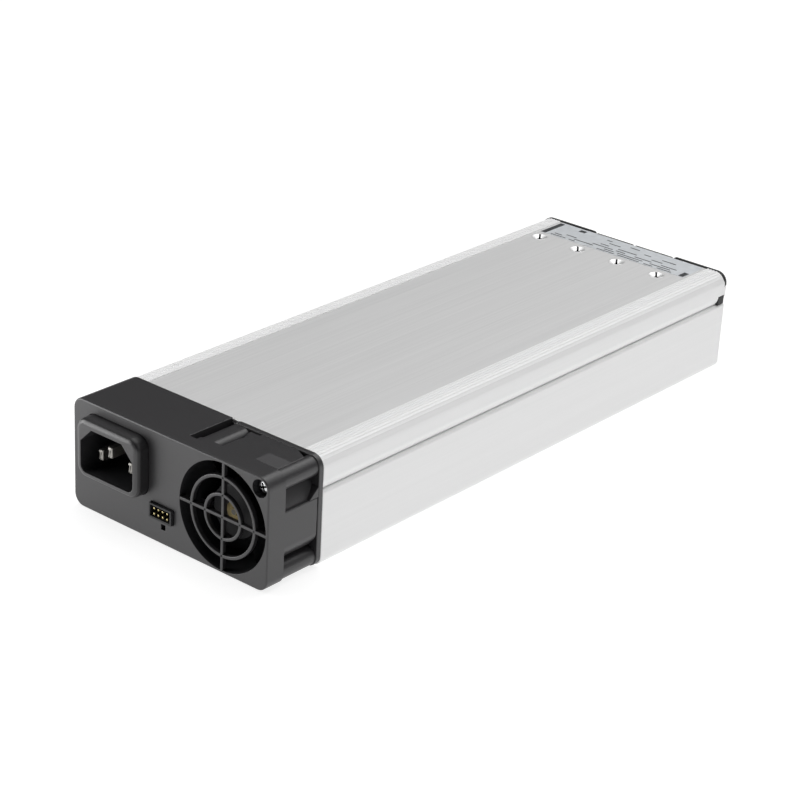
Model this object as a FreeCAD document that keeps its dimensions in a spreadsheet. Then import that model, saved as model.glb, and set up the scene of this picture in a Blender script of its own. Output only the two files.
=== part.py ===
import FreeCAD, Part
import Sketcher
import math
import operator
import os
from types import SimpleNamespace

from FreeCAD import Placement, Rotation, Vector

# Modular switching power supply, in millimetres.
# The origin is the middle of the underside. +X is to the right seen from the inlet end,
# +Y runs from the inlet and fan at the front to the output terminals at the rear, +Z is up.

# Driving dimensions
DIMENSIONS = {
    "case_width": 89.0,
    "case_length": 260.0,
    "case_height": 40.0,
    "bezel_depth": 25.5,
    "inlet_reach": 5.0,
    "terminal_reach": 5.0,
    "clearance": 0.3,
    "slip": 0.1,
    "tray_wall": 2.5,
    "tray_floor": 2.0,
    "tray_height": 27.6,
    "tray_foot_radius": 3.2,
    "tray_inner_radius": 1.0,
    "mount_spacing_x": 64.0,
    "mount_spacing_y": 160.0,
    "mount_middle_y": 10.0,
    "mount_thread": 1.65,
    "nut_shank": 2.7,
    "nut_flange": 4.0,
    "nut_height": 4.6,
    "cover_top": 1.8,
    "cover_side": 2.3,
    "cover_corner": 4.7,
    "cover_inner_corner": 2.6,
    "lip_rise": 3.4,
    "lip_turn": 1.5,
    "lip_ease": 0.5,
    "lip_inset": 1.5,
    "tongue_out": 41.6,
    "tongue_wall": 1.7,
    "tongue_bottom": 21.5,
    "tongue_root": 28.6,
    "panel_half": 35.8,
    "panel_drop": 0.4,
    "rib_count": 7,
    "rib_pitch": 1.28,
    "rib_groove": 0.4,
    "plug_length": 4.0,
    "plug_height": 3.6,
    "plug_depth": 1.3,
    "plug_from_rear": 0.9,
    "label_half": 34.4,
    "label_length": 14.6,
    "label_from_rear": 1.8,
    "label_corner": 0.8,
    "label_thick": 0.15,
    "slot_count": 4,
    "slot_pitch": 18.9,
    "slot_middle": 0.8,
    "slot_gap": 0.4,
    "cover_screw_y": 108.3,
    "cover_screw_shift": 3.4,
    "cover_screw_head": 3.1,
    "cover_screw_sink": 1.6,
    "cover_screw_shank": 1.5,
    "cover_screw_length": 6.6,
    "cross_width": 0.9,
    "cross_length": 3.4,
    "cross_depth": 0.9,
    "end_plate_thick": 1.2,
    "end_plate_half": 41.7,
    "end_plate_shoulder": 34.8,
    "bezel_plate": 2.5,
    "bezel_wall": 2.0,
    "bezel_corner": 4.2,
    "bezel_partition": 1.0,
    "bezel_rim": 5.5,
    "bezel_overlap": 1.0,
    "aperture": 19.1,
    "grille_depth": 1.8,
    "grille_small": 8.3,
    "grille_large": 14.5,
    "grille_bar": 1.15,
    "peg_radius": 1.5,
    "peg_length": 4.0,
    "tab_half": 6.0,
    "tab_reach": 8.5,
    "tab_root": 3.0,
    "tab_top": 4.2,
    "tab_left_x": -32.0,
    "tab_right_x": -8.0,
    "tab_screw_head": 2.9,
    "tab_screw_shank": 1.5,
    "inlet_x": -23.6,
    "inlet_z": 25.5,
    "inlet_width": 29.4,
    "inlet_height": 21.6,
    "inlet_corner": 4.5,
    "inlet_edge": 1.6,
    "inlet_depth": 16.0,
    "inlet_flange": 1.5,
    "inlet_flange_thick": 2.0,
    "inlet_fit": 0.15,
    "cavity_width": 24.6,
    "cavity_height": 16.3,
    "cavity_drop": 0.5,
    "cavity_chamfer": 5.2,
    "cavity_corner": 2.6,
    "cavity_depth": 17.0,
    "contact_thick": 2.0,
    "contact_tall": 4.0,
    "contact_pitch": 14.0,
    "contact_rise": 2.0,
    "contact_reach": 1.0,
    "earth_reach": 3.5,
    "contact_length": 19.0,
    "contact_leg": 1.5,
    "header_x": -2.4,
    "header_width": 10.4,
    "header_height": 5.4,
    "header_reach": 1.2,
    "header_length": 9.0,
    "header_wall": 0.7,
    "header_floor": 2.0,
    "pin_rows": 2,
    "pin_columns": 4,
    "pin_pitch": 2.0,
    "pin_side": 0.5,
    "pin_recess": 0.3,
    "pin_tail": 1.0,
    "light_x": -1.95,
    "light_z": 6.4,
    "light_hole": 2.0,
    "light_width": 2.8,
    "light_height": 2.0,
    "light_length": 3.8,
    "fan_side": 40.0,
    "fan_corner": 4.5,
    "fan_depth": 20.0,
    "fan_front_flange": 2.3,
    "fan_rear_flange": 2.1,
    "fan_barrel": 19.9,
    "fan_hole_spacing": 32.0,
    "fan_post": 3.5,
    "fan_post_hole": 1.7,
    "fan_web_drop": 1.1,
    "fan_web_thick": 1.4,
    "fan_web_rise": 5.0,
    "fan_panel_below": 9.2,
    "fan_panel_above": 6.3,
    "fan_web_left": 11.5,
    "fan_web_right": 13.0,
    "fan_pad_near": 7.5,
    "fan_pad_far": 14.0,
    "fan_pad_front": 2.0,
    "fan_pad_length": 9.0,
    "fan_pad_height": 0.4,
    "fan_screw_recess": 3.1,
    "fan_screw_depth": 4.0,
    "fan_screw_head": 2.7,
    "fan_screw_height": 1.9,
    "fan_screw_length": 14.0,
    "hub_radius": 9.6,
    "hub_inner": 8.6,
    "hub_setback": 0.2,
    "hub_length": 13.3,
    "hub_face": 1.4,
    "hub_insert": 3.4,
    "hub_insert_proud": 0.4,
    "hub_insert_length": 2.0,
    "impeller_blades": 7,
    "impeller_tip": 18.6,
    "blade_root_chord": 8.6,
    "blade_root_pitch": 48.0,
    "blade_root_thick": 1.3,
    "blade_tip_chord": 12.5,
    "blade_tip_pitch": 32.0,
    "blade_tip_thick": 0.9,
    "blade_camber": 0.12,
    "blade_bury": 0.7,
    "shaft_radius": 1.0,
    "shaft_play": 0.03,
    "bearing_length": 3.0,
    "sleeve_bore": 2.6,
    "sleeve_radius": 3.2,
    "sleeve_setback": 3.5,
    "sleeve_end": 0.8,
    "magnet_inner": 7.6,
    "magnet_front_gap": 0.2,
    "magnet_rear_gap": 1.0,
    "stator_radius": 7.2,
    "stator_height": 4.5,
    "stator_yoke": 1.0,
    "stator_shoe": 0.9,
    "stator_neck": 1.6,
    "stator_slot": 1.4,
    "coil_width": 3.8,
    "coil_overhang": 1.0,
    "coil_gap": 0.5,
    "motor_base": 9.3,
    "motor_base_thick": 2.8,
    "motor_base_gap": 1.2,
    "motor_board_thick": 0.8,
    "strut_width": 2.0,
    "lead_radius": 0.9,
    "lead_x": 11.0,
    "lead_z": 34.6,
    "lead_run": 11.5,
    "lead_bend": 5.0,
    "lead_plug_width": 5.2,
    "lead_plug_depth": 4.4,
    "lead_plug_height": 8.2,
    "board_low": 7.2,
    "board_thick": 1.6,
    "board_half": 41.0,
    "board_rear": 56.0,
    "standoff_x": 37.0,
    "standoff_first_y": -90.0,
    "standoff_pitch_y": 46.0,
    "standoff_rows": 4,
    "standoff_radius": 3.1,
    "standoff_bore": 1.5,
    "board_screw_head": 2.8,
    "board_screw_height": 2.0,
    "film_thick": 0.4,
    "film_margin": 0.5,
    "choke_x": -22.0,
    "choke_y": -88.0,
    "choke_core_outer": 10.5,
    "choke_core_inner": 6.0,
    "choke_core_height": 11.0,
    "choke_wire": 1.4,
    "choke_turns_angle": 150.0,
    "box_capacitor_x": -1.0,
    "box_capacitor_width": 17.0,
    "box_capacitor_depth": 9.0,
    "box_capacitor_height": 15.0,
    "box_capacitor_y": -95.5,
    "box_capacitor_pitch": 11.5,
    "fuse_x": -36.2,
    "fuse_rise": 5.6,
    "fuse_y": -93.0,
    "fuse_length": 20.0,
    "fuse_radius": 2.3,
    "fuse_cap": 2.6,
    "fuse_cap_length": 5.0,
    "fuse_clip": 3.2,
    "boost_x": -19.5,
    "boost_y": -53.0,
    "boost_core_outer": 15.2,
    "boost_core_inner": 8.0,
    "boost_core_height": 14.0,
    "boost_wire": 1.6,
    "boost_turns_angle": 320.0,
    "can_radius": 12.4,
    "can_length": 46.0,
    "can_front": -32.0,
    "can_x": -10.5,
    "can_pitch": 26.0,
    "sink_front": -78.0,
    "sink_rear": 46.0,
    "sink_face": 27.0,
    "sink_base": 3.0,
    "sink_reach": 11.0,
    "sink_height": 26.0,
    "sink_fins": 5,
    "sink_fin_first": 4.0,
    "sink_fin_pitch": 4.6,
    "sink_fin_thick": 1.5,
    "bridge_front": -76.0,
    "bridge_width": 30.0,
    "bridge_height": 20.0,
    "bridge_thick": 4.6,
    "bridge_rise": 1.0,
    "transistor_count": 3,
    "transistor_y": -30.0,
    "transistor_pitch": 24.0,
    "transistor_width": 16.0,
    "transistor_height": 20.0,
    "transistor_thick": 5.0,
    "transistor_rise": 3.0,
    "core_x": -10.0,
    "core_y": 34.0,
    "core_width": 42.0,
    "core_depth": 24.0,
    "core_height": 26.0,
    "core_leg": 12.0,
    "core_side": 6.0,
    "core_yoke": 4.2,
    "coil_proud": 3.6,
    "coil_inset": 0.2,
    "bus_y": 53.0,
    "bus_top": 33.0,
    "bus_left": -37.5,
    "bus_right": 39.0,
    "socket_half": 9.2,
    "socket_depth": 6.4,
    "socket_height": 7.0,
    "socket_rise": 0.7,
    "module_half": 8.7,
    "module_front": 57.6,
    "module_rear": 127.8,
    "module_low": 12.0,
    "heat_plate_low": 34.3,
    "heat_plate_setback": 5.0,
    "module_core_half": 7.5,
    "module_core_front": 72.0,
    "module_core_length": 26.0,
    "module_core_yoke": 4.0,
    "module_core_window": 5.0,
    "terminal_side": 7.0,
    "terminal_height": 7.5,
    "terminal_pitch": 8.8,
    "terminal_depth": 13.0,
    "terminal_proud": 1.2,
    "terminal_thread_depth": 8.0,
    "terminal_screw_length": 7.5,
    "terminal_screw_head": 3.6,
    "terminal_screw_shank": 2.0,
    "terminal_cross_depth": 1.4,
    "washer_radius": 4.1,
    "washer_thick": 1.0,
    "vent_half": 7.0,
    "vent_height": 1.2,
    "vent_pitch": 2.2,
    "vent_low": 4.6,
    "vent_low_rows": 3,
    "vent_high": 23.2,
    "vent_high_rows": 2,
    "trimmer_x": 5.0,
    "trimmer_z": 31.1,
    "trimmer_radius": 1.7,
    "trimmer_play": 0.05,
    "trimmer_hole": 2.2,
    "trimmer_side": 6.4,
    "trimmer_length": 7.2,
    "trimmer_setback": 0.2,
    "trimmer_housing_depth": 11.0,
    "trimmer_slot": 0.6,
    "trimmer_slot_depth": 0.9,
}

doc = FreeCAD.newDocument("PowerSupply")
sheet = doc.addObject("Spreadsheet::Sheet", "Sizes")
for row, (alias, amount) in enumerate(DIMENSIONS.items(), start=1):
    sheet.set(f"A{row}", alias)
    sheet.set(f"B{row}", str(amount))
    sheet.setAlias(f"B{row}", alias)
doc.recompute()


class Size:
    """A length that carries both its number and the sheet expression that gives it."""

    def __init__(self, value, text):
        self.value = value
        self.text = text

    def __add__(self, other):
        return combine(self, operator.add, "+", other)

    def __radd__(self, other):
        return combine(other, operator.add, "+", self)

    def __sub__(self, other):
        return combine(self, operator.sub, "-", other)

    def __rsub__(self, other):
        return combine(other, operator.sub, "-", self)

    def __mul__(self, other):
        return combine(self, operator.mul, "*", other)

    def __rmul__(self, other):
        return combine(other, operator.mul, "*", self)

    def __truediv__(self, other):
        return combine(self, operator.truediv, "/", other)

    def __neg__(self):
        return combine(0, operator.sub, "-", self)


def as_size(amount):
    return amount if isinstance(amount, Size) else Size(amount, repr(float(amount)))


def combine(left, action, sign, right):
    left = as_size(left)
    right = as_size(right)
    return Size(action(left.value, right.value), f"({left.text} {sign} {right.text})")


size = SimpleNamespace(**{alias: Size(sheet.get(alias), f"Sizes.{alias}") for alias in DIMENSIONS})


def times(count):
    """Numbers of the members of a row whose count is in the sheet."""
    return range(int(count.value))


def around(middle, width):
    return (middle - width / 2, middle + width / 2)


def onward(start, length):
    return (start, start + length)


nodes = []


def keep(label, item):
    """Marks an object as a finished sub-part under its own label."""
    item.Label = label
    nodes.append(item)
    return item


def bind(item, field, amount):
    item.setExpression(field, as_size(amount).text)


def put(item, x, y, z):
    for axis, amount in zip("xyz", (x, y, z)):
        bind(item, f"Placement.Base.{axis}", amount)
    return item


def block(name, x, y, z):
    """A box between a low and a high value on each axis."""
    item = doc.addObject("Part::Box", name)
    for field, (low, high) in zip(("Length", "Width", "Height"), (x, y, z)):
        bind(item, field, high - low)
    return put(item, x[0], y[0], z[0])


ALONG = {
    "X": Rotation(Vector(0, 1, 0), 90),
    "Y": Rotation(Vector(1, 0, 0), -90),
    "Z": Rotation(),
}


def along(item, axis, centre, start):
    """Lays an item made along Z on another axis; centre is its place across that axis."""
    item.Placement = Placement(Vector(), ALONG[axis])
    place = list(centre)
    place.insert("XYZ".index(axis), start)
    return put(item, *place)


def rod(name, axis, centre, span, radius):
    item = doc.addObject("Part::Cylinder", name)
    bind(item, "Radius", radius)
    bind(item, "Height", span[1] - span[0])
    return along(item, axis, centre, span[0])


def taper(name, axis, centre, span, first_radius, last_radius):
    item = doc.addObject("Part::Cone", name)
    bind(item, "Radius1", first_radius)
    bind(item, "Radius2", last_radius)
    bind(item, "Height", span[1] - span[0])
    return along(item, axis, centre, span[0])


def fuse(name, *shapes):
    item = doc.addObject("Part::MultiFuse", name)
    item.Shapes = list(shapes)
    item.Refine = True
    return item


def cut(name, base, *tools):
    item = doc.addObject("Part::Cut", name)
    item.Base = base
    item.Tool = tools[0] if len(tools) == 1 else fuse(f"{name}_tools", *tools)
    return item


def group(name, items):
    """Separate solids that share one node."""
    item = doc.addObject("Part::Compound", name)
    item.Links = list(items)
    return item


def one_each(name, maker, places):
    """One piece at each place, all of them in one node."""
    return group(name, [maker(index, place) for index, place in enumerate(places)])


def ring(name, axis, centre, span, outer, inner):
    whole = rod(f"{name}_outer", axis, centre, span, outer)
    return cut(name, whole, rod(f"{name}_inner", axis, centre, span, inner))


def circle(across, up, radius):
    return {"middle": (as_size(across), as_size(up)), "radius": as_size(radius)}


def rectangle(across, up, *radius):
    """Corners of a rectangle, all rounded alike when a radius is given."""
    places = [(across[0], up[0]), (across[1], up[0]), (across[1], up[1]), (across[0], up[1])]
    return [(*place, *radius) for place in places]


def draw_circle(sketch, loop):
    across, up = loop["middle"]
    radius = loop["radius"]
    shape = Part.Circle(Vector(across.value, up.value, 0), Vector(0, 0, 1), radius.value)
    item = sketch.addGeometry(shape, False)
    return [
        (("DistanceX", -1, 1, item, 3), across),
        (("DistanceY", -1, 1, item, 3), up),
        (("Radius", item), radius),
    ]


def heading(first, last):
    """Signs of the step from one corner to the next."""
    steps = [after.value - before.value for before, after in zip(first, last)]
    return [0 if abs(step) < 1e-9 else math.copysign(1, step) for step in steps]


def corner_stop(before, corner, after):
    """Where an outline meets and leaves a corner, and the arc between if it is rounded."""
    if len(corner) == 2:
        return {"entry": corner, "exit": corner}
    radius = corner[2]
    arrive = heading(before[:2], corner[:2])
    leave = heading(corner[:2], after[:2])
    entry = tuple(corner[i] - arrive[i] * radius for i in (0, 1))
    return {
        "entry": entry,
        "exit": tuple(corner[i] + leave[i] * radius for i in (0, 1)),
        "middle": tuple(entry[i] + leave[i] * radius for i in (0, 1)),
        "radius": radius,
        "left": arrive[0] * leave[1] > arrive[1] * leave[0],
    }


def point(place):
    return Vector(place[0].value, place[1].value, 0)


def draw_arc(sketch, stop):
    """Adds a corner's arc; it always runs anticlockwise."""
    middle = point(stop["middle"])
    ends = (stop["entry"], stop["exit"]) if stop["left"] else (stop["exit"], stop["entry"])
    angles = [math.atan2(point(end).y - middle.y, point(end).x - middle.x) for end in ends]
    if angles[1] < angles[0]:
        angles[1] += 2 * math.pi
    whole = Part.Circle(middle, Vector(0, 0, 1), stop["radius"].value)
    return sketch.addGeometry(Part.ArcOfCircle(whole, *angles), False)


def draw_corners(sketch, loop):
    """Draws a closed outline of straight runs; a corner with a radius is rounded by an arc.

    A rounded corner stands between an upright and a level run.
    """
    corners = [tuple(as_size(amount) for amount in corner) for corner in loop]
    befores = corners[-1:] + corners[:-1]
    afters = corners[1:] + corners[:1]
    stops = [corner_stop(*three) for three in zip(befores, corners, afters)]
    lines = []
    for stop, following in zip(stops, stops[1:] + stops[:1]):
        run = Part.LineSegment(point(stop["exit"]), point(following["entry"]))
        lines.append(sketch.addGeometry(run, False))
    rules = []
    for index, stop in enumerate(stops):
        line = lines[index]
        previous = lines[index - 1]
        rules.append((("DistanceX", -1, 1, line, 1), stop["exit"][0]))
        rules.append((("DistanceY", -1, 1, line, 1), stop["exit"][1]))
        if "radius" not in stop:
            rules.append((("Coincident", previous, 2, line, 1), None))
            continue
        arc = draw_arc(sketch, stop)
        entry_end, exit_end = (1, 2) if stop["left"] else (2, 1)
        rules.append((("DistanceX", -1, 1, previous, 2), stop["entry"][0]))
        rules.append((("DistanceY", -1, 1, previous, 2), stop["entry"][1]))
        rules.append((("Coincident", arc, entry_end, previous, 2), None))
        rules.append((("Coincident", arc, exit_end, line, 1), None))
        rules.append((("Radius", arc), stop["radius"]))
    return rules


def draw(body, name, plane, loops):
    """A sketch on one of the body's own planes, every point bound to the sheet."""
    sketch = body.newObject("Sketcher::SketchObject", name)
    support = next(item for item in body.Origin.OriginFeatures if item.Role == f"{plane}_Plane")
    sketch.AttachmentSupport = (support, [""])
    sketch.MapMode = "FlatFace"
    rules = []
    for loop in loops:
        rules += draw_circle(sketch, loop) if isinstance(loop, dict) else draw_corners(sketch, loop)
    amounts = [[] if amount is None else [amount.value] for rule, amount in rules]
    sketch.addConstraint([Sketcher.Constraint(*rule, *value) for (rule, _), value in zip(rules, amounts)])
    for index, (rule, amount) in enumerate(rules):
        if amount is not None:
            sketch.setExpression(f"Constraints[{index}]", amount.text)
    return sketch


AWAY = {"XY": "z", "XZ": "y"}


def extrusion(name, plane, loops, span):
    """A padded outline; the first loop is its edge and the others are holes in it."""
    body = doc.addObject("PartDesign::Body", name)
    pad = body.newObject("PartDesign::Pad", f"{name}_pad")
    pad.Profile = draw(body, f"{name}_outline", plane, loops)
    bind(pad, "Length", span[1] - span[0])
    pad.Reversed = plane == "XZ"
    bind(body, f"Placement.Base.{AWAY[plane]}", span[0])
    return body


def round_front(body, radius):
    """Rounds the edge of the face that a body's outline was drawn on."""
    doc.recompute()
    pad = body.Tip
    places = [abs(face.CenterOfMass.y) for face in pad.Shape.Faces]
    front_face = places.index(min(places)) + 1
    fillet = body.newObject("PartDesign::Fillet", f"{body.Name}_edge")
    fillet.Base = (pad, [f"Face{front_face}"])
    bind(fillet, "Radius", radius)
    return body


def cross_recess(name, axis, centre, span):
    """Two crossed slots that a cross-head driver fits."""
    arms = []
    lengths = (size.cross_length, size.cross_width)
    for number, (first, second) in enumerate((lengths, lengths[::-1])):
        sides = [around(centre[0], first), around(centre[1], second)]
        sides.insert("XYZ".index(axis), span)
        arms.append(block(f"{name}_arm_{number}", *sides))
    return arms


SIDES = (-1, 1)

# Main stations along, across and up the case
half_width = size.case_width / 2
front = -size.case_length / 2
rear = size.case_length / 2
chassis_front = front + size.bezel_depth
cover_rear = rear - size.end_plate_thick
panel_top = size.case_height - size.panel_drop
cover_underside = panel_top - size.cover_top
board_top = size.board_low + size.board_thick
middle_slot = (size.slot_count - 1) / 2
slot_centres = [
    size.slot_middle + size.slot_pitch * (number - middle_slot) for number in times(size.slot_count)
]

# Base tray: U-shaped extrusion with rounded lower edges, holes for nuts and for the bezel's screws
tray_inner = half_width - size.tray_wall
tray_shell = extrusion(
    "tray_shell",
    "XZ",
    [
        [
            (-half_width, 0, size.tray_foot_radius),
            (half_width, 0, size.tray_foot_radius),
            (half_width, size.tray_height),
            (tray_inner, size.tray_height),
            (tray_inner, size.tray_floor, size.tray_inner_radius),
            (-tray_inner, size.tray_floor, size.tray_inner_radius),
            (-tray_inner, size.tray_height),
            (-half_width, size.tray_height),
        ]
    ],
    (chassis_front, rear),
)
floor_span = (0, size.tray_floor)
mount_places = [
    (side * size.mount_spacing_x / 2, size.mount_middle_y + end * size.mount_spacing_y / 2)
    for side in SIDES
    for end in SIDES
]
tab_screw_y = chassis_front + size.tab_reach / 2
tab_places = [(size.tab_left_x, tab_screw_y), (size.tab_right_x, tab_screw_y)]
tab_sink = (0, size.tab_screw_head - size.tab_screw_shank)


def tab_cone(name, place):
    return taper(name, "Z", place, tab_sink, size.tab_screw_head, size.tab_screw_shank)


tray_holes = []
for i, place in enumerate(mount_places):
    tray_holes.append(rod(f"nut_hole_{i}", "Z", place, floor_span, size.nut_shank))
for i, place in enumerate(tab_places):
    tray_holes.append(tab_cone(f"tab_sink_{i}", place))
    tray_holes.append(rod(f"tab_screw_way_{i}", "Z", place, floor_span, size.tab_screw_shank))
keep("base_tray", cut("tray_cut", tray_shell, *tray_holes))


def mounting_nut(index, place):
    """Press-in nut: its shank fills the floor hole and its flange stands on the floor."""
    shank = rod(f"nut_shank_{index}", "Z", place, floor_span, size.nut_shank)
    flange = rod(f"nut_flange_{index}", "Z", place, (size.tray_floor, size.nut_height), size.nut_flange)
    thread = rod(f"nut_thread_{index}", "Z", place, (0, size.nut_height), size.mount_thread)
    return cut(f"nut_{index}", fuse(f"nut_body_{index}", shank, flange), thread)


keep("mounting_nuts", one_each("nuts", mounting_nut, mount_places))

# Top cover: extrusion with ribbed shoulders; its slanting lip and the tray's edge leave the side groove
lip = size.tray_height + size.clearance
cover_inner = half_width - size.cover_side
tongue_in = size.tongue_out - size.tongue_wall


def cover_outline(side):
    """One side of the cover, from its panel over the shoulder, down the side and back inside."""
    return [
        (side * size.panel_half, panel_top),
        (side * size.panel_half, size.case_height),
        (side * half_width, size.case_height, size.cover_corner),
        (side * half_width, lip + size.lip_rise),
        (side * (half_width - size.lip_ease), lip + size.lip_turn),
        (side * (half_width - size.lip_inset), lip),
        (side * size.tongue_out, lip),
        (side * size.tongue_out, size.tongue_bottom),
        (side * tongue_in, size.tongue_bottom),
        (side * tongue_in, size.tongue_root),
        (side * cover_inner, size.tongue_root + size.cover_side),
        (side * cover_inner, cover_underside, size.cover_inner_corner),
    ]


cover_span = (chassis_front, rear)
cover_shell = extrusion("cover_shell", "XZ", [cover_outline(1) + cover_outline(-1)[::-1]], cover_span)


def beside(side, low, high):
    """The same stretch of X on the left or the right side."""
    return (low, high) if side > 0 else (-high, -low)


def rib_groove(side, number):
    """Round groove beside a rib; its steps along the surface carry it round the rounded corner."""
    along_surface = (size.rib_pitch * (number + 1)).value
    flat = (half_width - size.cover_corner - size.panel_half).value
    corner = size.cover_corner.value
    turn = max(0.0, along_surface - flat) / corner
    x = size.panel_half + (min(along_surface, flat) + corner * math.sin(turn))
    z = size.case_height - corner * (1 - math.cos(turn))
    return rod(f"groove_{number}_{side}", "Y", (side * x, z), cover_span, size.rib_groove)


end_span = (cover_rear, rear)
end_room = size.end_plate_half + size.clearance
cover_cuts = [rib_groove(side, number) for side in SIDES for number in times(size.rib_count)]
step_heights = (size.end_plate_shoulder - size.clearance, size.case_height)
cover_cuts.append(block("end_step", (-half_width, half_width), end_span, step_heights))
room_heights = (size.tongue_bottom, size.case_height)
cover_cuts.append(block("end_room", (-end_room, end_room), end_span, room_heights))
plug_rear = rear - size.plug_from_rear
plug_front = plug_rear - size.plug_length
plug_top = size.tray_height + size.plug_height


def groove_plug(name, side, room):
    """Plug at the rear end of a side groove; room widens it to the notch that it sits in."""
    x = beside(side, half_width - size.plug_depth - room, half_width)
    heights = (size.tray_height, plug_top + room)
    return block(f"{name}_{side}", x, (plug_front - room, plug_rear + room), heights)


cover_cuts += [groove_plug("plug_notch", side, size.slip) for side in SIDES]
screw_places = [(centre - size.cover_screw_shift, size.cover_screw_y) for centre in slot_centres]
screw_sink = (panel_top - size.cover_screw_sink, panel_top)


def cover_cone(name, place):
    return taper(name, "Z", place, screw_sink, size.cover_screw_shank, size.cover_screw_head)


panel_span = (cover_underside, panel_top)
for i, place in enumerate(screw_places):
    cover_cuts.append(cover_cone(f"cover_sink_{i}", place))
    cover_cuts.append(rod(f"cover_way_{i}", "Z", place, panel_span, size.cover_screw_shank))
keep("top_cover", cut("cover_cut", cover_shell, *cover_cuts))
keep("groove_plugs", group("plugs", [groove_plug("plug", side, 0) for side in SIDES]))
label_rear = rear - size.label_from_rear
label_loop = rectangle(
    (-size.label_half, size.label_half), (label_rear - size.label_length, label_rear), size.label_corner
)
keep("rating_label", extrusion("label", "XY", [label_loop], onward(panel_top, size.label_thick)))


def cover_screw(index, place):
    """Countersunk screw through the cover into the module's heat plate."""
    head = cover_cone(f"cover_head_{index}", place)
    shank_span = (panel_top - size.cover_screw_length, screw_sink[0])
    shank = rod(f"cover_shank_{index}", "Z", place, shank_span, size.cover_screw_shank)
    recess = cross_recess(f"cover_cross_{index}", "Z", place, (panel_top - size.cross_depth, panel_top))
    return cut(f"cover_screw_{index}", fuse(f"cover_screw_body_{index}", head, shank), *recess)


keep("module_screws", one_each("cover_screws", cover_screw, screw_places))

# Front bezel: moulded plate with the fan grille, a closed box on the left and a rim round the fan
fan_x = half_width - size.fan_side / 2
fan_z = size.fan_side / 2
fan_left = half_width - size.fan_side
fan_axis = (fan_x, fan_z)
box_right = fan_left - size.clearance
box_inner = box_right - size.bezel_partition
plate_back = front + size.bezel_plate
wall_front = front + size.bezel_overlap
rim_back = front + size.bezel_rim
inlet_sides = around(size.inlet_x, size.inlet_width)
inlet_heights = around(size.inlet_z, size.inlet_height)
header_sides = around(size.header_x, size.header_width)
header_heights = onward(board_top, size.header_height)


def widened(span, room):
    return (span[0] - room, span[1] + room)


front_plate = extrusion(
    "front_plate",
    "XZ",
    [
        rectangle((-half_width, half_width), (0, size.case_height), size.bezel_corner),
        circle(fan_x, fan_z, size.aperture),
        rectangle(
            widened(inlet_sides, size.inlet_fit), widened(inlet_heights, size.inlet_fit), size.inlet_corner
        ),
        rectangle(widened(header_sides, size.inlet_fit), widened(header_heights, size.inlet_fit)),
        rectangle(around(size.light_x, size.light_hole), around(size.light_z, size.light_hole)),
    ],
    (front, plate_back),
)
box_inner_corner = size.bezel_corner - size.bezel_wall
left_box = extrusion(
    "left_box",
    "XZ",
    [
        [
            (-half_width, 0, size.bezel_corner),
            (box_right, 0),
            (box_right, size.case_height),
            (-half_width, size.case_height, size.bezel_corner),
        ],
        [
            (size.bezel_wall - half_width, size.bezel_wall, box_inner_corner),
            (box_inner, size.bezel_wall),
            (box_inner, size.case_height - size.bezel_wall),
            (size.bezel_wall - half_width, size.case_height - size.bezel_wall, box_inner_corner),
        ],
    ],
    (wall_front, chassis_front),
)
fan_rim = extrusion(
    "fan_rim",
    "XZ",
    [
        [
            (box_inner, 0),
            (half_width, 0, size.bezel_corner),
            (half_width, size.case_height, size.bezel_corner),
            (box_inner, size.case_height),
        ],
        circle(fan_x, fan_z, size.aperture),
    ],
    (wall_front, rim_back),
)
grille_span = onward(front, size.grille_depth)
spoke_length = 2 * size.aperture + size.grille_bar
grille = [
    block("spoke_upright", around(fan_x, size.grille_bar), grille_span, around(fan_z, spoke_length)),
    block("spoke_level", around(fan_x, spoke_length), grille_span, around(fan_z, size.grille_bar)),
]
for name, radius in (("small", size.grille_small), ("large", size.grille_large)):
    grille.append(ring(f"grille_{name}", "Y", fan_axis, grille_span, radius, radius - size.grille_bar))
half_spacing = size.fan_hole_spacing / 2
fan_corners = [(fan_x + a * half_spacing, fan_z + b * half_spacing) for a in SIDES for b in SIDES]
peg_corners = fan_corners[:-1]
screw_corner = fan_corners[-1]
peg_span = (wall_front, rim_back + size.peg_length)
pegs = [rod(f"peg_{i}", "Y", place, peg_span, size.peg_radius) for i, place in enumerate(peg_corners)]
tab_root_y = (chassis_front - size.tab_root, chassis_front)
tab_y = onward(chassis_front, size.tab_reach)
tab_heights = (size.tray_floor, size.tab_top)
tabs = []
for i, (x, _) in enumerate(tab_places):
    tab_x = around(x, 2 * size.tab_half)
    tabs.append(block(f"tab_root_{i}", tab_x, tab_root_y, (size.bezel_wall / 2, size.tab_top)))
    tabs.append(block(f"tab_{i}", tab_x, tab_y, tab_heights))
bezel_body = fuse("bezel_body", front_plate, left_box, fan_rim, *grille, *pegs, *tabs)
recess_floor = front + size.fan_screw_depth
bezel_cuts = [
    rod("fan_screw_recess", "Y", screw_corner, (front, recess_floor), size.fan_screw_recess),
    rod("fan_screw_way", "Y", screw_corner, (front, rim_back), size.fan_post_hole),
]
for i, place in enumerate(tab_places):
    bezel_cuts.append(rod(f"tab_thread_{i}", "Z", place, tab_heights, size.tab_screw_shank))
keep("front_bezel", cut("bezel_cut", bezel_body, *bezel_cuts))


def tab_screw(index, place):
    """Countersunk screw from under the tray into a tab of the bezel."""
    head = tab_cone(f"tab_head_{index}", place)
    shank = rod(f"tab_shank_{index}", "Z", place, (tab_sink[1], size.tab_top), size.tab_screw_shank)
    recess = cross_recess(f"tab_cross_{index}", "Z", place, (0, size.cross_depth))
    return cut(f"tab_screw_{index}", fuse(f"tab_screw_body_{index}", head, shank), *recess)


keep("bezel_screws", one_each("tab_screws", tab_screw, tab_places))

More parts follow.
